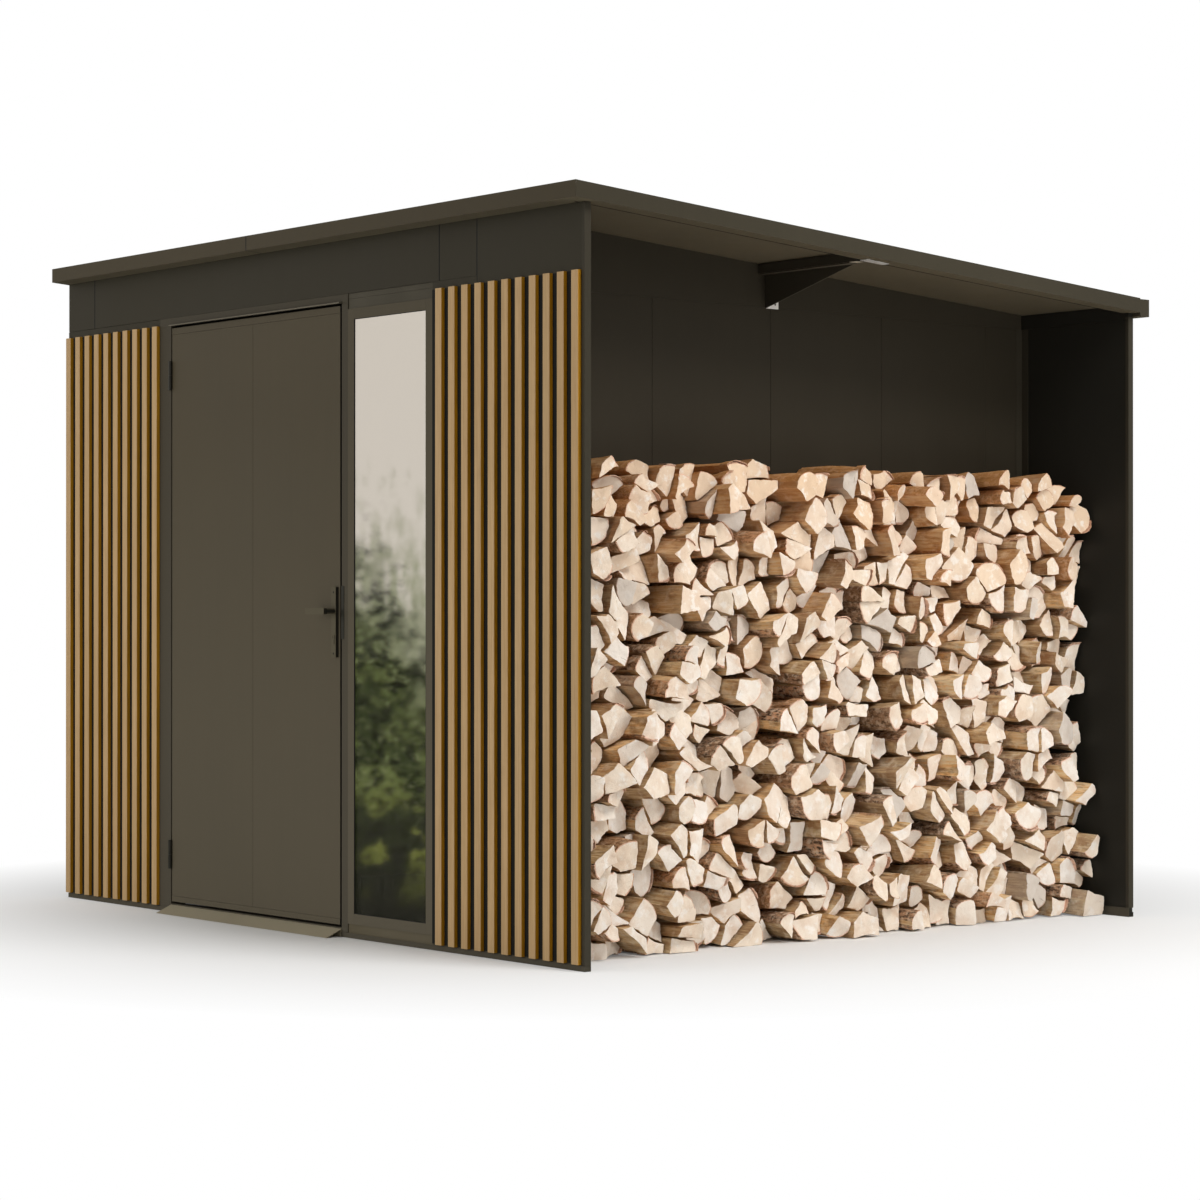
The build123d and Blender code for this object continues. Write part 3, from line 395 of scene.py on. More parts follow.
def log_end_wood(name):
    """Sawn end of a log: pale rings round the pith, drying cracks and grey weathering."""
    material, tree, shader = new_material(name, 0.2)
    place, tone, weather, warmth = log_facts(tree)
    across, up = axis_of(tree, place, "Y"), axis_of(tree, place, "Z")
    squares = [calculate(tree, "MULTIPLY", side, side) for side in (across, up)]
    radius = calculate(tree, "SQRT", calculate(tree, "ADD", *squares))
    wobble = calculate(tree, "MULTIPLY", noise_value(tree, place, 22.0, 3.0), 0.012)
    rings = calculate(tree, "MULTIPLY", calculate(tree, "ADD", radius, wobble), RING_SCALE)
    rings = calculate(tree, "SINE", rings)
    turn = calculate(tree, "ARCTAN2", up, across)
    polar = add_node(tree, "CombineXYZ", {0: turn, 1: radius, 2: tone}).outputs[0]
    crack = noise_value(tree, move_scale(tree, polar, CRACK_SCALES), 1.0, 4.0, 0.6)
    stains = noise_value(tree, place, 17.0, 4.0, 0.6)
    patches = noise_value(tree, place, 31.0, 4.0, 0.6)
    specks = noise_value(tree, place, 330.0, 3.0, 0.6)
    pale = mix_color(tree, tone, (0.80, 0.735, 0.66), (0.78, 0.67, 0.54))
    warm = mix_color(tree, calculate(tree, "MULTIPLY", warmth, 0.55), pale, (0.70, 0.44, 0.23))
    wood = lay_over(tree, warm, (0.62, 0.43, 0.29), stains, 0.46, 0.72, 0.6)
    wood = lay_over(tree, wood, (0.84, 0.80, 0.75), patches, 0.54, 0.64, 0.65)
    wood = lay_over(tree, wood, (0.56, 0.34, 0.18), rings, 0.1, 1.0, 0.10)
    grey = mix_color(tree, stains, (0.62, 0.55, 0.48), (0.44, 0.385, 0.335))
    wood = mix_color(tree, weather, wood, grey)
    wood = lay_over(tree, wood, (0.46, 0.32, 0.20), specks, 0.55, 0.75, 0.25)
    dark = remap(tree, crack, 0.67, 0.74, 0.0, 0.7)
    wood = mix_color(tree, dark, wood, (0.16, 0.09, 0.05))
    height = calculate(tree, "SUBTRACT", calculate(tree, "MULTIPLY_ADD", specks, 0.4, stains), dark)
    height = calculate(tree, "ADD", height, patches)
    set_surface(tree, shader, wood, remap(tree, specks, 0.3, 0.7, 0.75, 0.92), height, 0.004, 0.5)
    return material


def log_split_wood(name):
    """Split side of a log: long torn fibres, golden, olive or brown."""
    material, tree, shader = new_material(name, 0.25)
    place, tone, weather, warmth = log_facts(tree)
    fibres = noise_value(tree, move_scale(tree, place, (8.0, 170.0, 170.0)), 1.0, 5.0, 0.62)
    bands = noise_value(tree, move_scale(tree, place, (16.0, 48.0, 48.0)), 1.0, 4.0, 0.6)
    blotches = noise_value(tree, place, 26.0, 4.0, 0.6)
    pale = mix_color(tree, tone, (1.0, 0.80, 0.50), (0.55, 0.38, 0.20))
    dark = mix_color(tree, tone, (0.92, 0.52, 0.18), (0.24, 0.14, 0.07))
    wood = mix_color(tree, remap(tree, fibres, 0.36, 0.60), dark, pale)
    wood = lay_over(tree, wood, (0.27, 0.12, 0.04), bands, 0.47, 0.66, 0.75)
    wood = lay_over(tree, wood, (0.86, 0.76, 0.58), blotches, 0.52, 0.68, 0.5)
    wood = mix_color(tree, calculate(tree, "MULTIPLY", warmth, 0.6), wood, (0.52, 0.20, 0.045))
    wood = mix_color(tree, calculate(tree, "MULTIPLY", weather, 0.7), wood, (0.46, 0.40, 0.33))
    height = calculate(tree, "ADD", fibres, bands)
    set_surface(tree, shader, wood, remap(tree, fibres, 0.3, 0.7, 0.68, 0.85), height, 0.004, 0.8)
    return material


def log_bark(name):
    """Bark: reddish brown with dark fissures and pale scales."""
    material, tree, shader = new_material(name, 0.2)
    place, tone, weather, warmth = log_facts(tree)
    plates = noise_value(tree, move_scale(tree, place, (40.0, 105.0, 105.0)), 1.0, 5.0, 0.65)
    scales = noise_value(tree, place, 62.0, 4.0, 0.6)
    brown = mix_color(tree, tone, (0.74, 0.42, 0.24), (0.36, 0.22, 0.13))
    bark = mix_color(tree, remap(tree, plates, 0.40, 0.56), (0.09, 0.05, 0.03), brown)
    bark = lay_over(tree, bark, (0.78, 0.62, 0.46), scales, 0.50, 0.62, 0.75)
    bark = mix_color(tree, calculate(tree, "MULTIPLY", weather, 0.7), bark, (0.28, 0.26, 0.21))
    bark = mix_color(tree, calculate(tree, "MULTIPLY", warmth, 0.7), bark, (0.62, 0.27, 0.075))
    height = calculate(tree, "ADD", plates, calculate(tree, "MULTIPLY", scales, 0.6))
    set_surface(tree, shader, bark, remap(tree, scales, 0.3, 0.7, 0.8, 0.95), height, 0.006, 0.9)
    return material


def log_bark_rim(name):
    """Cut edge of the bark round a log's end, and loose flaps of bark: rosy brown."""
    material, tree, shader = new_material(name, 0.2)
    place, tone, weather, _ = log_facts(tree)
    flecks = noise_value(tree, place, 120.0, 4.0, 0.6)
    rim = mix_color(tree, tone, (0.80, 0.54, 0.41), (0.60, 0.35, 0.23))
    rim = mix_color(tree, remap(tree, flecks, 0.34, 0.48), (0.32, 0.17, 0.10), rim)
    rim = mix_color(tree, calculate(tree, "MULTIPLY", weather, 0.7), rim, (0.38, 0.33, 0.28))
    set_surface(tree, shader, rim, remap(tree, flecks, 0.3, 0.7, 0.8, 0.95), flecks, 0.002, 0.6)
    return material


def paint(material, *names):
    """Give CAD nodes a material."""
    for name in names:
        for place in nodes[name].material_slots:
            place.material = material


def mesh_piece(name, points, faces, materials, face_materials=None, sharp_angle=32):
    """An object from points and faces, smooth except at its sharp edges."""
    mesh = bpy.data.meshes.new(name)
    mesh.from_pydata([tuple(point) for point in points], [], faces)
    for material in materials:
        mesh.materials.append(material)
    if face_materials is not None:
        mesh.polygons.foreach_set("material_index", face_materials)
    mesh.polygons.foreach_set("use_smooth", [True] * len(mesh.polygons))
    mesh.update()
    mesh.set_sharp_from_angle(angle=math.radians(sharp_angle))
    piece = bpy.data.objects.new(name, mesh)
    bpy.context.scene.collection.objects.link(piece)
    return piece


def join_rings(first, second):
    """Quads between two closed rings of points."""
    count = len(first)
    return [(first[step], first[(step + 1) % count], second[(step + 1) % count], second[step])
            for step in range(count)]


def log_cells(node):
    """The logs of a firewood node: outline corners in Y and Z, and the two ends in X."""
    shape = bmesh.new()
    shape.from_mesh(node.data)
    bmesh.ops.remove_doubles(shape, verts=shape.verts, dist=0.00005)
    left = set(shape.verts)
    cells = []
    while left:
        group = set()
        front = [left.pop()]
        while front:
            vertex = front.pop()
            group.add(vertex)
            for edge in vertex.link_edges:
                other = edge.other_vert(vertex)
                if other in left:
                    left.remove(other)
                    front.append(other)
        x_values = [vertex.co.x for vertex in group]
        middle_x = (min(x_values) + max(x_values)) / 2
        corners = np.array([(vertex.co.y, vertex.co.z) for vertex in group if vertex.co.x > middle_x])
        middle = corners.mean(axis=0)
        order = np.argsort(np.arctan2(corners[:, 1] - middle[1], corners[:, 0] - middle[0]))
        cells.append((corners[order], min(x_values), max(x_values)))
    shape.free()
    cells.sort(key=lambda cell: (round(cell[0][:, 1].mean(), 4), round(cell[0][:, 0].mean(), 4)))
    return cells


def cut_outline(corners, point, normal):
    """The part of a convex outline that lies behind a line."""
    sides = (corners - point) @ normal
    kept = []
    for index in range(len(corners)):
        following = (index + 1) % len(corners)
        if sides[index] <= 0:
            kept.append(corners[index])
        if sides[index] * sides[following] < 0:
            share = sides[index] / (sides[index] - sides[following])
            kept.append(corners[index] + share * (corners[following] - corners[index]))
    return without_short_edges(kept)


def without_short_edges(corners):
    """Drop corners that nearly lie on the one before."""
    kept = []
    for corner in corners:
        if not kept or np.linalg.norm(corner - kept[-1]) > LOG_SHORTEST_EDGE:
            kept.append(corner)
    if len(kept) > 3 and np.linalg.norm(kept[0] - kept[-1]) <= LOG_SHORTEST_EDGE:
        kept.pop()
    return np.array(kept)


def area_of(corners):
    """Area inside a closed outline."""
    following = np.roll(corners, -1, axis=0)
    return abs((corners[:, 0] * following[:, 1] - corners[:, 1] * following[:, 0]).sum()) / 2


def split_cell(corners, chance):
    """The outlines that one cell is split into, by a cut across its longer way."""
    area = area_of(corners)
    likely = 0.9 if area > LOG_BIG_AREA else 0.45 if area > LOG_SMALL_AREA else 0.0
    if chance.random() > likely:
        return [corners]
    middle = corners.mean(axis=0)
    _, _, axes = np.linalg.svd(corners - middle)
    turn = math.atan2(axes[0][1], axes[0][0]) + math.radians(chance.gauss(0, 22))
    normal = np.array([math.cos(turn), math.sin(turn)])
    middle = middle + normal * chance.uniform(-0.010, 0.010)
    halves = [cut_outline(corners, middle, normal), cut_outline(corners, middle, -normal)]
    return [half for half in halves if len(half) > 2 and area_of(half) > LOG_LEAST_AREA]


def with_fewer_corners(corners, chance):
    """An outline without some of its bluntest corners, down to three at the least."""
    corners = list(corners)
    whole = area_of(np.array(corners))
    while len(corners) > 3:
        following = [*corners[1:], corners[0]]
        areas = [area_of(np.array([corners[index - 1], corners[index], following[index]]))
                 for index in range(len(corners))]
        bluntest = int(np.argmin(areas))
        limit = LOG_LEAST_CORNER if len(corners) > 4 else LOG_LEAST_CORNER / 2
        if areas[bluntest] > limit * whole or chance.random() < 0.2:
            break
        corners.pop(bluntest)
    return np.array(corners)


def log_outline(corners, is_top, chance):
    """Outline of a split log in its cell: a round bark side, and straight or hollow split sides.

    Gives close points round the outline, whether each lies on the bark, and the pith."""
    if not is_top:
        corners = with_fewer_corners(corners, chance)
    middle = corners.mean(axis=0)
    count = len(corners)
    points = []
    hollows = []
    for index in range(count):
        corner = corners[index]
        step_to = corners[(index + 1) % count] - corner
        length = np.linalg.norm(step_to)
        inward = middle - corner - step_to / 2
        inward = inward / max(np.linalg.norm(inward), 1e-6)
        is_hollow = chance.random() < LOG_HOLLOW_SHARE
        depth = length * chance.uniform(0.02, 0.10) if is_hollow else -length * chance.uniform(0, 0.02)
        skew = chance.uniform(0.6, 1.6)
        steps = max(2, round(length / LOG_POINT_STEP))
        for step in range(steps):
            share = step / steps
            points.append(corner + step_to * share)
            hollows.append(inward * depth * math.sin(math.pi * share ** skew))
    points = np.array(points)
    turn = math.radians(90 + chance.gauss(0, 18)) if is_top else chance.uniform(0, 2 * math.pi)
    toward = np.array([math.cos(turn), math.sin(turn)])
    far_corner = corners[int(np.argmin((corners - middle) @ toward))]
    pith = middle + (far_corner - middle) * chance.uniform(0.35, 0.85)
    distances = np.linalg.norm(points - pith, axis=1)
    if not is_top and chance.random() > LOG_BARK_SHARE:
        return points + np.array(hollows), [False] * len(points), pith
    kept = chance.uniform(0.62, 0.9) if is_top else chance.uniform(0.78, 0.93)
    whole = area_of(corners)
    for radius in np.linspace(distances.max(), distances.min(), 24):
        inside = np.minimum(1.0, radius / np.maximum(distances, 1e-6))
        rounded = pith + (points - pith) * inside[:, None]
        if area_of(rounded) < kept * whole:
            break
    is_bark = [bool(distance > radius) for distance in distances]
    outline = [place if bark else place + hollow for place, hollow, bark in zip(rounded, hollows, is_bark)]
    return np.array(outline), is_bark, pith


def build_log(cell, back_x, front_x, is_top, chance):
    """One split log inside its cell: points, faces, the material of each face, and its wood coordinates."""
    outline, is_bark, pith = log_outline(cell, is_top, chance)
    middle = outline.mean(axis=0)
    size = np.linalg.norm(outline - middle, axis=1).mean()
    gap = chance.uniform(0.0004, 0.0022)
    outline = middle + (outline - middle) * (1 - gap / size)
    outline = 0.7 * outline + 0.15 * (np.roll(outline, 1, axis=0) + np.roll(outline, -1, axis=0))
    total = len(outline)
    seed = Vector((chance.uniform(-50, 50), chance.uniform(-50, 50), chance.uniform(-50, 50)))
    for spot, bark in zip(outline, is_bark):
        radial = spot - middle
        ragged = abs(noise.noise(Vector((spot[0] * 60, spot[1] * 60, 3.0)) + seed))
        spot -= radial / max(np.linalg.norm(radial), 0.01) * ragged * (0.0030 if bark else 0.0045)
    steep = 9 if chance.random() < 0.75 else 18
    angles = [max(-LOG_STEEPEST_END, min(LOG_STEEPEST_END, chance.gauss(0, steep))) for _ in range(2)]
    tilt = np.array([math.tan(math.radians(angle)) for angle in angles])
    drift = np.array([chance.uniform(-1, 1), chance.uniform(-1, 1)]) * LOG_DRIFT
    length = front_x - back_x
    foremost = max(0.0, -((outline - middle) @ tilt).min())

    def end_depth(place):
        """How far the sawn end lies behind the log's foremost point."""
        ripple = noise.noise(Vector((place[0] * 30, place[1] * 30, 0.0)) + seed)
        torn = noise.noise(Vector((place[0] * 95, place[1] * 95, 5.0)) + seed)
        return foremost + float((place - middle) @ tilt) + 0.005 * (1 + ripple) + 0.0015 * torn

    points = []
    for spot in outline:
        place = middle + (spot - middle) * LOG_END_SHARE
        chip = abs(noise.noise(Vector((place[0] * 80, place[1] * 80, 7.0)) + seed))
        points.append((front_x - end_depth(place) - 0.008 * chip * chip, *place))
    rings = [range(total)]
    for depth in [depth for depth in LOG_RING_DEPTHS if depth < length * 0.8] + [length]:
        rings.append(range(len(points), len(points) + total))
        scale = 1 - 0.10 * depth / length
        follow = 1 - depth / length
        for spot, bark in zip(outline, is_bark):
            radial = spot - middle
            along = Vector((depth * 9, spot[0] * 55, spot[1] * 55)) + seed
            dent = abs(noise.noise(along)) * (0.0055 if bark else 0.0050)
            shrink = scale - dent / max(np.linalg.norm(radial), 0.01)
            place = middle + radial * shrink + drift * min(depth, LOG_RING_DEPTHS[-1])
            points.append((front_x - depth - end_depth(spot) * follow, *place))
    faces = []
    face_materials = []
    for near, far in zip(rings, rings[1:]):
        for index, bark in enumerate(is_bark):
            following = (index + 1) % total
            faces.append((near[index], far[index], far[following], near[following]))
            face_materials.append(BARK if bark else SPLIT_FACE)
    faces.append(tuple(rings[-1]))
    face_materials.append(SPLIT_FACE)

    outer = rings[0]
    rim_share = 1 - BARK_THICKNESS * chance.uniform(0.7, 1.5) / size
    for share in (rim_share, *LOG_CAP_SHARES):
        ring = range(len(points), len(points) + total)
        for spot in outline:
            place = middle + (spot - middle) * share * LOG_END_SHARE
            points.append((front_x - end_depth(place), *place))
        faces.extend(join_rings(outer, ring))
        face_materials.extend(BARK_RIM if share == rim_share and bark else SAWN_END for bark in is_bark)
        outer = ring
    points.append((front_x - end_depth(middle), *middle))
    for index in range(total):
        faces.append((outer[index], outer[(index + 1) % total], len(points) - 1))
    face_materials.extend([SAWN_END] * total)
    if sum(is_bark) > 5 and chance.random() < BARK_FLAP_SHARE:
        place_x = [front_x - end_depth(place) for place in outline]
        add_bark_flap(points, faces, face_materials, outline, is_bark, place_x, middle, chance)
    wood_places = [(x, y - pith[0], z - pith[1]) for x, y, z in points]
    return points, faces, face_materials, wood_places


def add_bark_flap(points, faces, face_materials, outline, is_bark, place_x, middle, chance):
    """A loose strip of bark along part of a log's bark side, curling forward past the sawn end."""
    total = len(outline)
    starts = [index for index in range(total) if is_bark[index] and not is_bark[index - 1]]
    first = starts[0] if starts else chance.randrange(total)
    run = []
    while len(run) < total and is_bark[(first + len(run)) % total]:
        run.append((first + len(run)) % total)
    length = max(4, int(len(run) * chance.uniform(0.35, 1.0)))
    begin = chance.randrange(len(run) - length + 1) if len(run) > length else 0
    run = run[begin:begin + length]
    thickness = chance.uniform(0.0014, 0.0028)
    reach = chance.uniform(0.004, 0.016)
    curl = chance.uniform(-0.002, 0.004)
    base = len(points)
    for step, index in enumerate(run):
        radial = outline[index] - middle
        radial = radial / max(np.linalg.norm(radial), 1e-6)
        fade = math.sin(math.pi * (step + 0.5) / len(run)) ** 0.5
        ragged = chance.uniform(0.55, 1.0) * fade
        inner = outline[index] + radial * 0.0004
        outer = inner + radial * thickness
        ahead = place_x[index] + reach * ragged
        behind = place_x[index] - BARK_FLAP_DEPTH
        points.append((ahead, *(inner + radial * curl * ragged)))
        points.append((ahead - 0.001, *(outer + radial * curl * ragged)))
        points.append((behind, *outer))
        points.append((behind, *inner))
    for step in range(len(run) - 1):
        near = base + 4 * step
        far = near + 4
        for side in range(4):
            other = (side + 1) % 4
            faces.append((near + side, near + other, far + other, far + side))
            face_materials.append(BARK if side == 1 else BARK_RIM)
    faces.append((base + 3, base + 2, base + 1, base))
    last = base + 4 * (len(run) - 1)
    faces.append((last, last + 1, last + 2, last + 3))
    face_materials.extend((BARK_RIM, BARK_RIM))


def build_firewood():
    """The stacked logs, one piece for each firewood node, each log inside its own cell."""
    materials = [log_end_wood("log_end_wood"), log_split_wood("log_split_wood"),
                 log_bark("log_bark"), log_bark_rim("log_bark_rim")]
    chance = random.Random(LOG_SEED)
    names = sorted(name for name in nodes if name.startswith("firewood_"))
    pile_low = Vector([min(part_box(name)[0][axis] for name in names) for axis in range(3)])
    pile_high = Vector([max(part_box(name)[1][axis] for name in names) for axis in range(3)])
    pile_top = pile_high.z
    for name in names:
        points, faces, face_materials, wood_places, tones = [], [], [], [], []
        for cell, back_x, front_x in log_cells(nodes[name]):
            height = cell[:, 1].mean() / pile_top
            is_top = cell[:, 1].max() > pile_top - LOG_TOP_BAND
            for outline in split_cell(cell, chance):
                end_x = front_x + chance.uniform(*LOG_STAGGER)
                log_points, log_faces, log_face_materials, log_places = build_log(
                    outline, back_x, end_x, is_top, chance)
                shift = len(points)
                points.extend(log_points)
                faces.extend(tuple(index + shift for index in face) for face in log_faces)
                face_materials.extend(log_face_materials)
                wood_places.extend(log_places)
                weather = chance.uniform(0.45, 0.95) if chance.random() < 0.09 else chance.uniform(0.0, 0.2)
                warmth = min(1.0, max(0.0, chance.gauss(0.08 + 1.15 * height ** 5, 0.19)))
                tone = min(1.0, chance.random() + 0.45 * height ** 5)
                tones.extend([(tone, weather, warmth, 1.0)] * len(log_points))
        points = np.clip(points, pile_low, pile_high)
        piece_name = "logs" + name.removeprefix("firewood")
        piece = mesh_piece(piece_name, points, faces, materials, face_materials, LOG_SHARP_ANGLE)
        place_data = piece.data.attributes.new("log_place", "FLOAT_VECTOR", "POINT")
        place_data.data.foreach_set("vector", np.array(wood_places, np.float32).ravel())
        tone_data = piece.data.attributes.new("log_tone", "FLOAT_COLOR", "POINT")
        tone_data.data.foreach_set("color", np.array(tones, np.float32).ravel())
        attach(piece, "shed")
        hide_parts(name)


def box_faces(points, faces, low, high):
    """Add a closed box between two corners to a mesh's lists."""
    base = len(points)
    for z in (low[2], high[2]):
        points.extend([(low[0], low[1], z), (high[0], low[1], z),
                       (high[0], high[1], z), (low[0], high[1], z)])
    for face in ((3, 2, 1, 0), (4, 5, 6, 7), (0, 1, 5, 4), (1, 2, 6, 5), (2, 3, 7, 6), (3, 0, 4, 7)):
        faces.append(tuple(base + corner for corner in face))


def slat_gap_shade_strips():
    """Near-black strips on the wall between the slats: painted shade where the shadow falls in the gaps."""
    points, faces = [], []
    left_low, left_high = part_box("left_slats")
    right_low, right_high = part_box("right_slats")
    pitch = slat_pitch()
    wall_y = left_high.y
    spans = []
    for group_low, group_high, first, last in (
        (left_low, left_high, left_low.x, left_high.x),
        (right_low, right_high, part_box("window_frame")[1].x + SLAT_GAP_SHADE_CLEARANCE,
         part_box("wing_end_caps")[0].x - SLAT_GAP_SHADE_CLEARANCE),
    ):
        edge = first
        slat_x = group_low.x
        while slat_x < group_high.x:
            if slat_x - edge > 0.001:
                spans.append((edge, slat_x))
            edge = slat_x + SLAT_WIDTH
            slat_x += pitch
        if last - edge > 0.001:
            spans.append((edge, last))
    for x_from, x_to in spans:
        box_faces(points, faces, (x_from + 0.0002, wall_y - SLAT_GAP_SHADE_THICKNESS, left_low.z + 0.001),
                  (x_to - 0.0002, wall_y, left_high.z - 0.001))
    piece = mesh_piece("slat_gap_painted_shade", points, faces, [dull_black("slat_gap_shade_paint", SLAT_GAP_SHADE_COLOR)])
    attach(piece, "shed")


def slat_pitch():
    """Distance from one slat to the next."""
    low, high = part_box("left_slats")
    return (high.x - low.x - SLAT_WIDTH) / (SLAT_COUNT - 1)


def screw_head(points, faces, center, axis, radius, rise):
    """Add a low domed screw head with a hexagon recess, facing along an axis."""
    out = Vector(axis).normalized()
    side = out.orthogonal().normalized()
    up = out.cross(side)
    rings = []
    for share, height, is_hexagon in SCREW_PROFILE:
        rings.append(range(len(points), len(points) + SCREW_STEPS))
        for step in range(SCREW_STEPS):
            turn = 2 * math.pi * step / SCREW_STEPS
            reach = radius * share
            if is_hexagon:
                reach *= math.cos(math.pi / 6) / math.cos((turn + math.pi / 6) % (math.pi / 3) - math.pi / 6)
            beside = (side * math.cos(turn) + up * math.sin(turn)) * reach
            points.append(tuple(Vector(center) + beside + out * rise * height))
    for ring, following in zip(rings, rings[1:]):
        faces.extend(join_rings(ring, following))
    faces.append(tuple(rings[-1]))
    faces.append(tuple(reversed(rings[0])))


def handle_details():
    """Screws of the handle plates and the keyholes of the lock cylinder."""
    plates_low, plates_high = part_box("handle_plates")
    cylinder_low, cylinder_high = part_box("lock_cylinder")
    middle_x = (plates_low.x + plates_high.x) / 2
    points, faces = [], []
    for y, outward in ((plates_low.y, -1), (plates_high.y, 1)):
        for z in (plates_low.z + 0.012, plates_high.z - 0.017):
            screw_head(points, faces, (middle_x, y, z), (0, outward, 0), *HANDLE_SCREW_SIZE)
    screws = mesh_piece("handle_screws", points, faces, [satin_metal("screw_finish", SCREW_COLOR, 0.4, 0.4)])
    points, faces = [], []
    key_z = cylinder_high.z - 0.0085
    for y, outward in ((cylinder_low.y, -1), (cylinder_high.y, 1)):
        near, far = sorted((y - outward * 0.0002, y + outward * 0.0003))
        box_faces(points, faces, (middle_x - KEYHOLE_WIDTH / 2, near, key_z - 0.0045),
                  (middle_x + KEYHOLE_WIDTH / 2, far, key_z + 0.0035))
    keyholes = mesh_piece("keyholes", points, faces, [dull_black("keyhole_dark", RUBBER_AND_GAP_SHADE_COLOR)])
    for piece in (screws, keyholes):
        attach(piece, "door")


def window_gasket():
    """Black gasket round the pane, in front of the glass."""
    frame_low, frame_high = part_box("window_frame")
    front = frame_low.y + GASKET_SINK
    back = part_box("window_glass")[0].y - GASKET_GLASS_GAP
    x_from, x_to = frame_low.x + GASKET_LIP, frame_high.x - GASKET_LIP
    z_from, z_to = frame_low.z + GASKET_LIP, frame_high.z - GASKET_LIP
    x_inner, x_outer = x_from + GASKET_WIDTH, x_to - GASKET_WIDTH
    points, faces = [], []
    for x_low, x_high, z_low, z_high in (
        (x_from, x_inner, z_from, z_to),
        (x_outer, x_to, z_from, z_to),
        (x_inner, x_outer, z_from, z_from + GASKET_WIDTH),
        (x_inner, x_outer, z_to - GASKET_WIDTH, z_to),
    ):
        box_faces(points, faces, (x_low, front, z_low), (x_high, back, z_high))
    piece = mesh_piece("window_gasket", points, faces, [dull_black("gasket_rubber", RUBBER_AND_GAP_SHADE_COLOR)])
    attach(piece, "shed")


def places_of(name):
    """The points of a CAD node's mesh."""
    vertices = nodes[name].data.vertices
    places = np.empty(len(vertices) * 3)
    vertices.foreach_get("co", places)
    return places.reshape(-1, 3)


def roof_screws():
    """Screws with washers along the roof's seam caps."""
    places = places_of("roof_seam_caps")
    caps = []
    for x in sorted({round(float(x), 3) for x in places[:, 0]}):
        if not caps or x - caps[-1][-1] > 0.1:
            caps.append([x])
        else:
            caps[-1].append(x)
    points, faces = [], []
    for cap in caps:
        middle_x = (cap[0] + cap[-1]) / 2
        near = places[np.abs(places[:, 0] - middle_x) < 0.05]
        front, back = near[:, 1].min(), near[:, 1].max()
        front_top = near[np.abs(near[:, 1] - front) < 0.002][:, 2].max()
        back_top = near[np.abs(near[:, 1] - back) < 0.002][:, 2].max()
        slope = (back_top - front_top) / (back - front)
        for share in ROOF_SCREW_SHARES:
            y = front + (back - front) * share
            z = front_top + slope * (y - front)
            screw_head(points, faces, (middle_x, y, z + 0.0001), (0, -slope, 1), *ROOF_SCREW_SIZE)
    finish = satin_metal("roof_screw_finish", SCREW_COLOR, 0.4, 0.45)
    piece = mesh_piece("roof_screws", points, faces, [finish])
    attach(piece, "shed")


def edge_shadow_lines():
    """Thin near-black strips along the inner edges of the roof edge's lips at the sides: painted shade for
    the shadow gap there.
    """
    points, faces = [], []
    for name, inward in (("right_edge", -1), ("left_edge", 1)):
        places = places_of(name)
        inner = places[:, 0].min() if inward < 0 else places[:, 0].max()
        outer = inner - inward * SHADOW_LINE_WIDTH
        front, back = places[:, 1].min() + 0.05, places[:, 1].max() - 0.002
        near = places[np.abs(places[:, 1] - places[:, 1].min()) < 0.08]
        far = places[np.abs(places[:, 1] - places[:, 1].max()) < 0.004]
        lowest = near[near[:, 2].argmin()]
        back_low = far[:, 2].min()
        fall = (back_low - lowest[2]) / (far[:, 1].mean() - lowest[1])
        front_low = lowest[2] + fall * (front - lowest[1])
        base = len(points)
        for depth in SHADOW_LINE_DEPTHS:
            points.extend([(inner, front, front_low - depth), (outer, front, front_low - depth),
                           (outer, back, back_low - depth), (inner, back, back_low - depth)])
        for face in ((0, 1, 2, 3), (7, 6, 5, 4), (4, 5, 1, 0), (5, 6, 2, 1), (6, 7, 3, 2), (7, 4, 0, 3)):
            faces.append(tuple(base + corner for corner in face))
    piece = mesh_piece("edge_shadow_lines", points, faces, [dull_black("edge_shadow_line_paint", RUBBER_AND_GAP_SHADE_COLOR)])
    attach(piece, "shed")


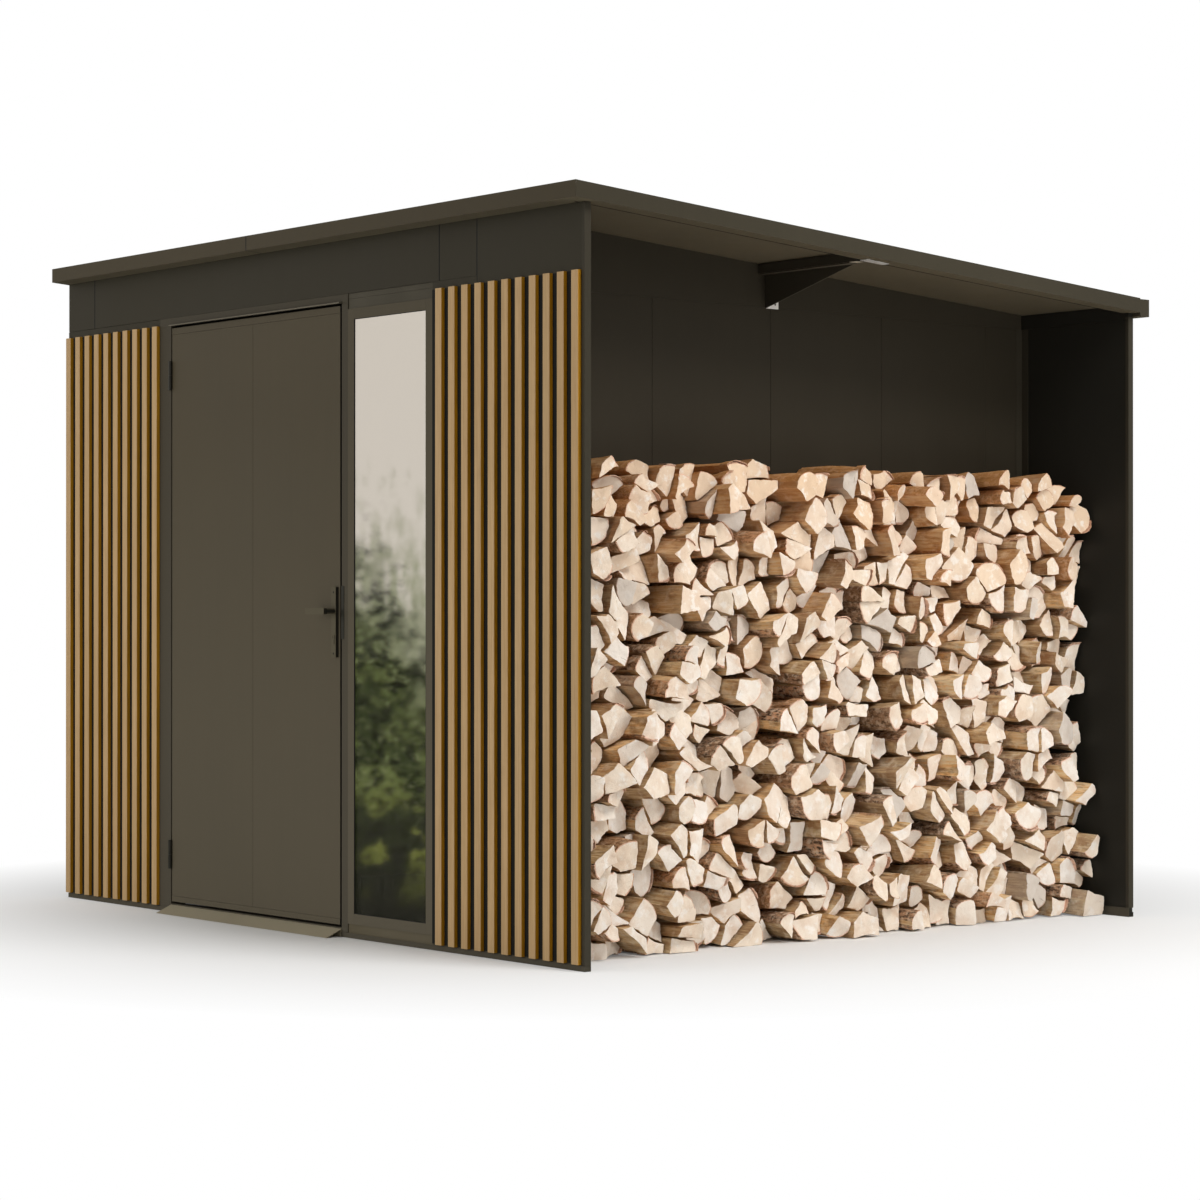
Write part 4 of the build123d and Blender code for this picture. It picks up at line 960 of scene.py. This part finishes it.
def finish_metalwork():
    """Materials of the shed's own pieces."""
    frieze_low, frieze_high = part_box("front_frieze")
    frieze_joints = (frieze_low.x + FRIEZE_END_WIDTH, frieze_high.x - FRIEZE_SHORT_WIDTH, frieze_high.x)
    edge_joints = (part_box("front_edge")[0].x + FRONT_EDGE_JOINT,)
    clean = dict(roughness=0.5, dust_and_floor_light=0.0)
    # The roof edges' undersides are painted paler: painted light bounced up from the floor
    edge = dict(clean, underside_light_and_shade_color=shade(SOFFIT_PAINTED_LIGHT_COLOR, 0.9))
    # The undersides of the bracket's arm and gusset are painted pale: painted light bounced up from the floor
    bracket = dict(roughness=0.45, dust_and_floor_light=0.0, underside_light_and_shade_color=BRACKET_UNDER_PAINTED_LIGHT_COLOR)
    gusset = dict(bracket, underside_light_and_shade_color=shade(BRACKET_COLOR, 2.2))
    # The door leaf's side faces are painted near-black: painted shade in the gap round the leaf
    leaf = dict(roughness=0.42, dust_and_floor_light=0.14, side_shade_color=RUBBER_AND_GAP_SHADE_COLOR)
    # The handle's side faces are painted near-black: painted shade
    handle = dict(roughness=0.36, dust_and_floor_light=0.0, side_shade_color=HINGE_BLACK_AND_SIDE_SHADE_COLOR)
    for name, color, settings, *painted in (
        ("wall", WALL_COLOR, {}, "front_wall_left", "front_wall_right", "left_wall", "left_gable"),
        ("frieze", WALL_COLOR, dict(joints=frieze_joints), "front_frieze", "front_wing"),
        ("bay", BAY_COLOR, clean, "bay_wall", "bay_gable"),
        # The back wall and its top rail are painted darker than the walls: painted shade
        ("back_wall", BACK_WALL_PAINTED_SHADE_COLOR, clean, "back_wall", "back_top_rail"),
        ("trim", TRIM_COLOR, {}, "base_rails", "door_sill", "roof_beam"),
        # The door frame's undersides are painted near-black: painted shade in the rebate above the leaf
        ("door_frame", TRIM_COLOR, dict(underside_light_and_shade_color=RUBBER_AND_GAP_SHADE_COLOR), "door_frame"),
        ("cap", CAP_COLOR, dict(dust_and_floor_light=0.02), "bay_corner_angles", "wing_end_caps"),
        ("bracket", BRACKET_COLOR, bracket, "bracket_arm"),
        ("gusset", BRACKET_COLOR, gusset, "bracket_gusset"),
        ("window", WINDOW_COLOR, dict(roughness=0.42, dust_and_floor_light=0.17), "window_frame", "window_beads"),
        ("door", DOOR_COLOR, leaf, "door_panels", "door_rails"),
        # One coating painted darker on the side edges and lighter on the front edge: painted shade and
        # painted light
        ("edge", SIDE_EDGE_PAINTED_SHADE_COLOR, edge, "left_edge", "right_edge", "back_gutter"),
        ("front_edge", FRONT_EDGE_PAINTED_LIGHT_COLOR, dict(edge, joints=edge_joints), "front_edge"),
        ("ramp", RAMP_COLOR, dict(roughness=0.45), "door_ramp"),
        ("strip", STRIP_COLOR, dict(roughness=0.4, dust_and_floor_light=0.0), "door_drip_strip"),
        ("handle", FITTING_COLOR, handle, "handle_plates", "door_levers", "lock_cylinder"),
    ):
        paint(painted_metal(name + "_coating", color, **settings), *painted)
    fittings = satin_metal("fitting_coating", HINGE_BLACK_AND_SIDE_SHADE_COLOR, 0.0, 0.38)
    paint(fittings, "hinge_jamb_halves", "hinge_leaf_halves", "strike_plate")
    paint(satin_metal("zinc_plating", ZINC_COLOR, 0.1, 0.5), "bracket_foot", "lever_spindle")
    paint(satin_metal("bracket_tip_plating", shade(ZINC_COLOR, 0.62), 0.1, 0.5), "bracket_tip")
    paint(infill_sheet("infill_coating"), "window_infill")
    paint(roof_sheet("roof_coating"), "roof_panels", "roof_seam_caps")
    paint(mirror_glass("window_glass"), "window_glass")
    first_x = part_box("left_slats")[0].x - slat_pitch() / 4
    paint(slat_foil("slat_foil", first_x, slat_pitch()), "left_slats", "right_slats")


def build_stage():
    """A pale floor that fades to white, soft lamps, and a world that only mirrors show as a garden."""
    material, tree, shader = new_material("pale_floor")
    shader.inputs["Roughness"].default_value = 0.9
    shader.inputs["Base Color"].default_value = (*FLOOR_COLOR, 1.0)
    place = add_node(tree, "NewGeometry").outputs["Position"]
    distance = add_node(tree, "VectorMath", {0: place}, operation="LENGTH").outputs["Value"]
    fade = remap(tree, distance, 1.3, 2.9)
    camera_ray = add_node(tree, "LightPath").outputs["Is Camera Ray"]
    white = add_node(tree, "Emission", {"Color": (1, 1, 1, 1), "Strength": 1.0})
    mixed = add_node(tree, "MixShader", {0: calculate(tree, "MULTIPLY", fade, camera_ray),
                                         1: shader.outputs[0], 2: white.outputs[0]})
    tree.links.new(mixed.outputs[0], tree.nodes["Material Output"].inputs["Surface"])
    reach = 40.0
    corners = [(-reach, -reach, 0), (reach, -reach, 0), (reach, reach, 0), (-reach, reach, 0)]
    floor = mesh_piece("studio_floor", corners, [(0, 1, 2, 3)], [material])
    floor.location.z = -0.0005
    floor.visible_glossy = False

    world = bpy.data.worlds.new("studio_world")
    bpy.context.scene.world = world
    world.use_nodes = True
    tree = world.node_tree
    tree.nodes.clear()
    around = garden_colors(tree, add_node(tree, "TexCoord").outputs["Generated"])
    path = add_node(tree, "LightPath")
    seen = calculate(tree, "MAXIMUM", path.outputs["Is Camera Ray"], path.outputs["Is Transmission Ray"])
    light = add_node(tree, "Background", {"Color": (1.0, 0.985, 0.96, 1.0), "Strength": WORLD_STRENGTH})
    backdrop = add_node(tree, "Background", {"Color": (1, 1, 1, 1), "Strength": 1.0})
    mirrored = add_node(tree, "Background", {"Color": around, "Strength": 1.0})
    is_glossy = path.outputs["Is Glossy Ray"]
    plain = add_node(tree, "MixShader", {0: is_glossy, 1: light.outputs[0], 2: mirrored.outputs[0]})
    final = add_node(tree, "MixShader", {0: seen, 1: plain.outputs[0], 2: backdrop.outputs[0]})
    output = add_node(tree, "OutputWorld")
    tree.links.new(final.outputs[0], output.inputs["Surface"])

    for lamp in LAMPS:
        add_lamp(*lamp)


def garden_colors(tree, direction):
    """What glass and metal mirror: from the top down, a pale sky, soft trees, shrubs and dark ground.

    The height of a mirrored direction is 0 at the horizon."""
    parts = add_node(tree, "SeparateXYZ", {0: direction})
    height = parts.outputs["Z"]
    leaves = noise_value(tree, direction, 330.0, 4.0, 0.66)
    clumps = noise_value(tree, direction, 88.0, 3.0, 0.55)
    glints = noise_value(tree, direction, 470.0, 3.0, 0.55)
    twigs = noise_value(tree, move_scale(tree, direction, (330.0, 330.0, 95.0)), 1.0, 4.0, 0.6)
    crowns = calculate(tree, "SINE", calculate(tree, "MULTIPLY_ADD", parts.outputs["X"], 216.0, 177.6))
    lit = remap(tree, clumps, 0.38, 0.62)
    leaf_light = mix_color(tree, lit, (0.066, 0.088, 0.032), (0.225, 0.275, 0.095))
    green = mix_color(tree, remap(tree, leaves, 0.42, 0.62), (0.010, 0.012, 0.007), leaf_light)
    green = lay_over(tree, green, (0.40, 0.46, 0.22), glints, 0.57, 0.68, 0.55)
    shrubs = mix_color(tree, remap(tree, clumps, 0.50, 0.58), (0.030, 0.036, 0.016), (0.25, 0.28, 0.065))
    shrubs = mix_color(tree, remap(tree, leaves, 0.38, 0.56), (0.012, 0.013, 0.009), shrubs)
    green = mix_color(tree, remap(tree, height, -0.074, -0.056), shrubs, green)
    green = mix_color(tree, remap(tree, height, -0.100, -0.076), (0.016, 0.017, 0.012), green)
    edge = calculate(tree, "MULTIPLY_ADD", crowns, -0.015, height)
    edge = calculate(tree, "MULTIPLY_ADD", calculate(tree, "SUBTRACT", clumps, 0.5), 0.06, edge)
    edge = calculate(tree, "MULTIPLY_ADD", calculate(tree, "SUBTRACT", leaves, 0.5), 0.08, edge)
    haze = calculate(tree, "MULTIPLY_ADD", calculate(tree, "SUBTRACT", twigs, 0.5), 0.15, height)
    hazy = remap(tree, haze, -0.005, 0.036, 0.75, 0.0)
    sky = mix_color(tree, hazy, (1.0, 0.935, 0.865), (0.30, 0.35, 0.17))
    return mix_color(tree, remap(tree, edge, -0.018, 0.012), green, sky)


def add_lamp(name, place, target, size, power):
    """A square soft lamp that faces a target."""
    lamp = bpy.data.lights.new(name, "AREA")
    lamp.shape = "SQUARE"
    lamp.size = size
    lamp.energy = power
    holder = bpy.data.objects.new(name, lamp)
    holder.location = place
    holder.rotation_euler = (Vector(target) - Vector(place)).to_track_quat("-Z", "Y").to_euler()
    holder.visible_glossy = False
    holder.visible_camera = False
    bpy.context.scene.collection.objects.link(holder)


def build_camera():
    """The camera at the photograph's place."""
    camera = bpy.data.cameras.new("photo_camera")
    camera.lens = CAMERA_LENS
    camera.sensor_width = CAMERA_SENSOR
    camera.clip_end = 200.0
    holder = bpy.data.objects.new("photo_camera", camera)
    turn = math.radians(CAMERA_TURN)
    tilt = math.radians(CAMERA_TILT)
    forward = Vector((-math.sin(turn) * math.cos(tilt), math.cos(turn) * math.cos(tilt), math.sin(tilt)))
    holder.location = CAMERA_PLACE
    holder.rotation_euler = forward.to_track_quat("-Z", "Y").to_euler()
    bpy.context.scene.collection.objects.link(holder)
    bpy.context.scene.camera = holder
    bpy.context.scene.view_settings.view_transform = "Standard"


build_camera()
build_stage()
finish_metalwork()
slat_gap_shade_strips()
window_gasket()
handle_details()
roof_screws()
edge_shadow_lines()
build_firewood()
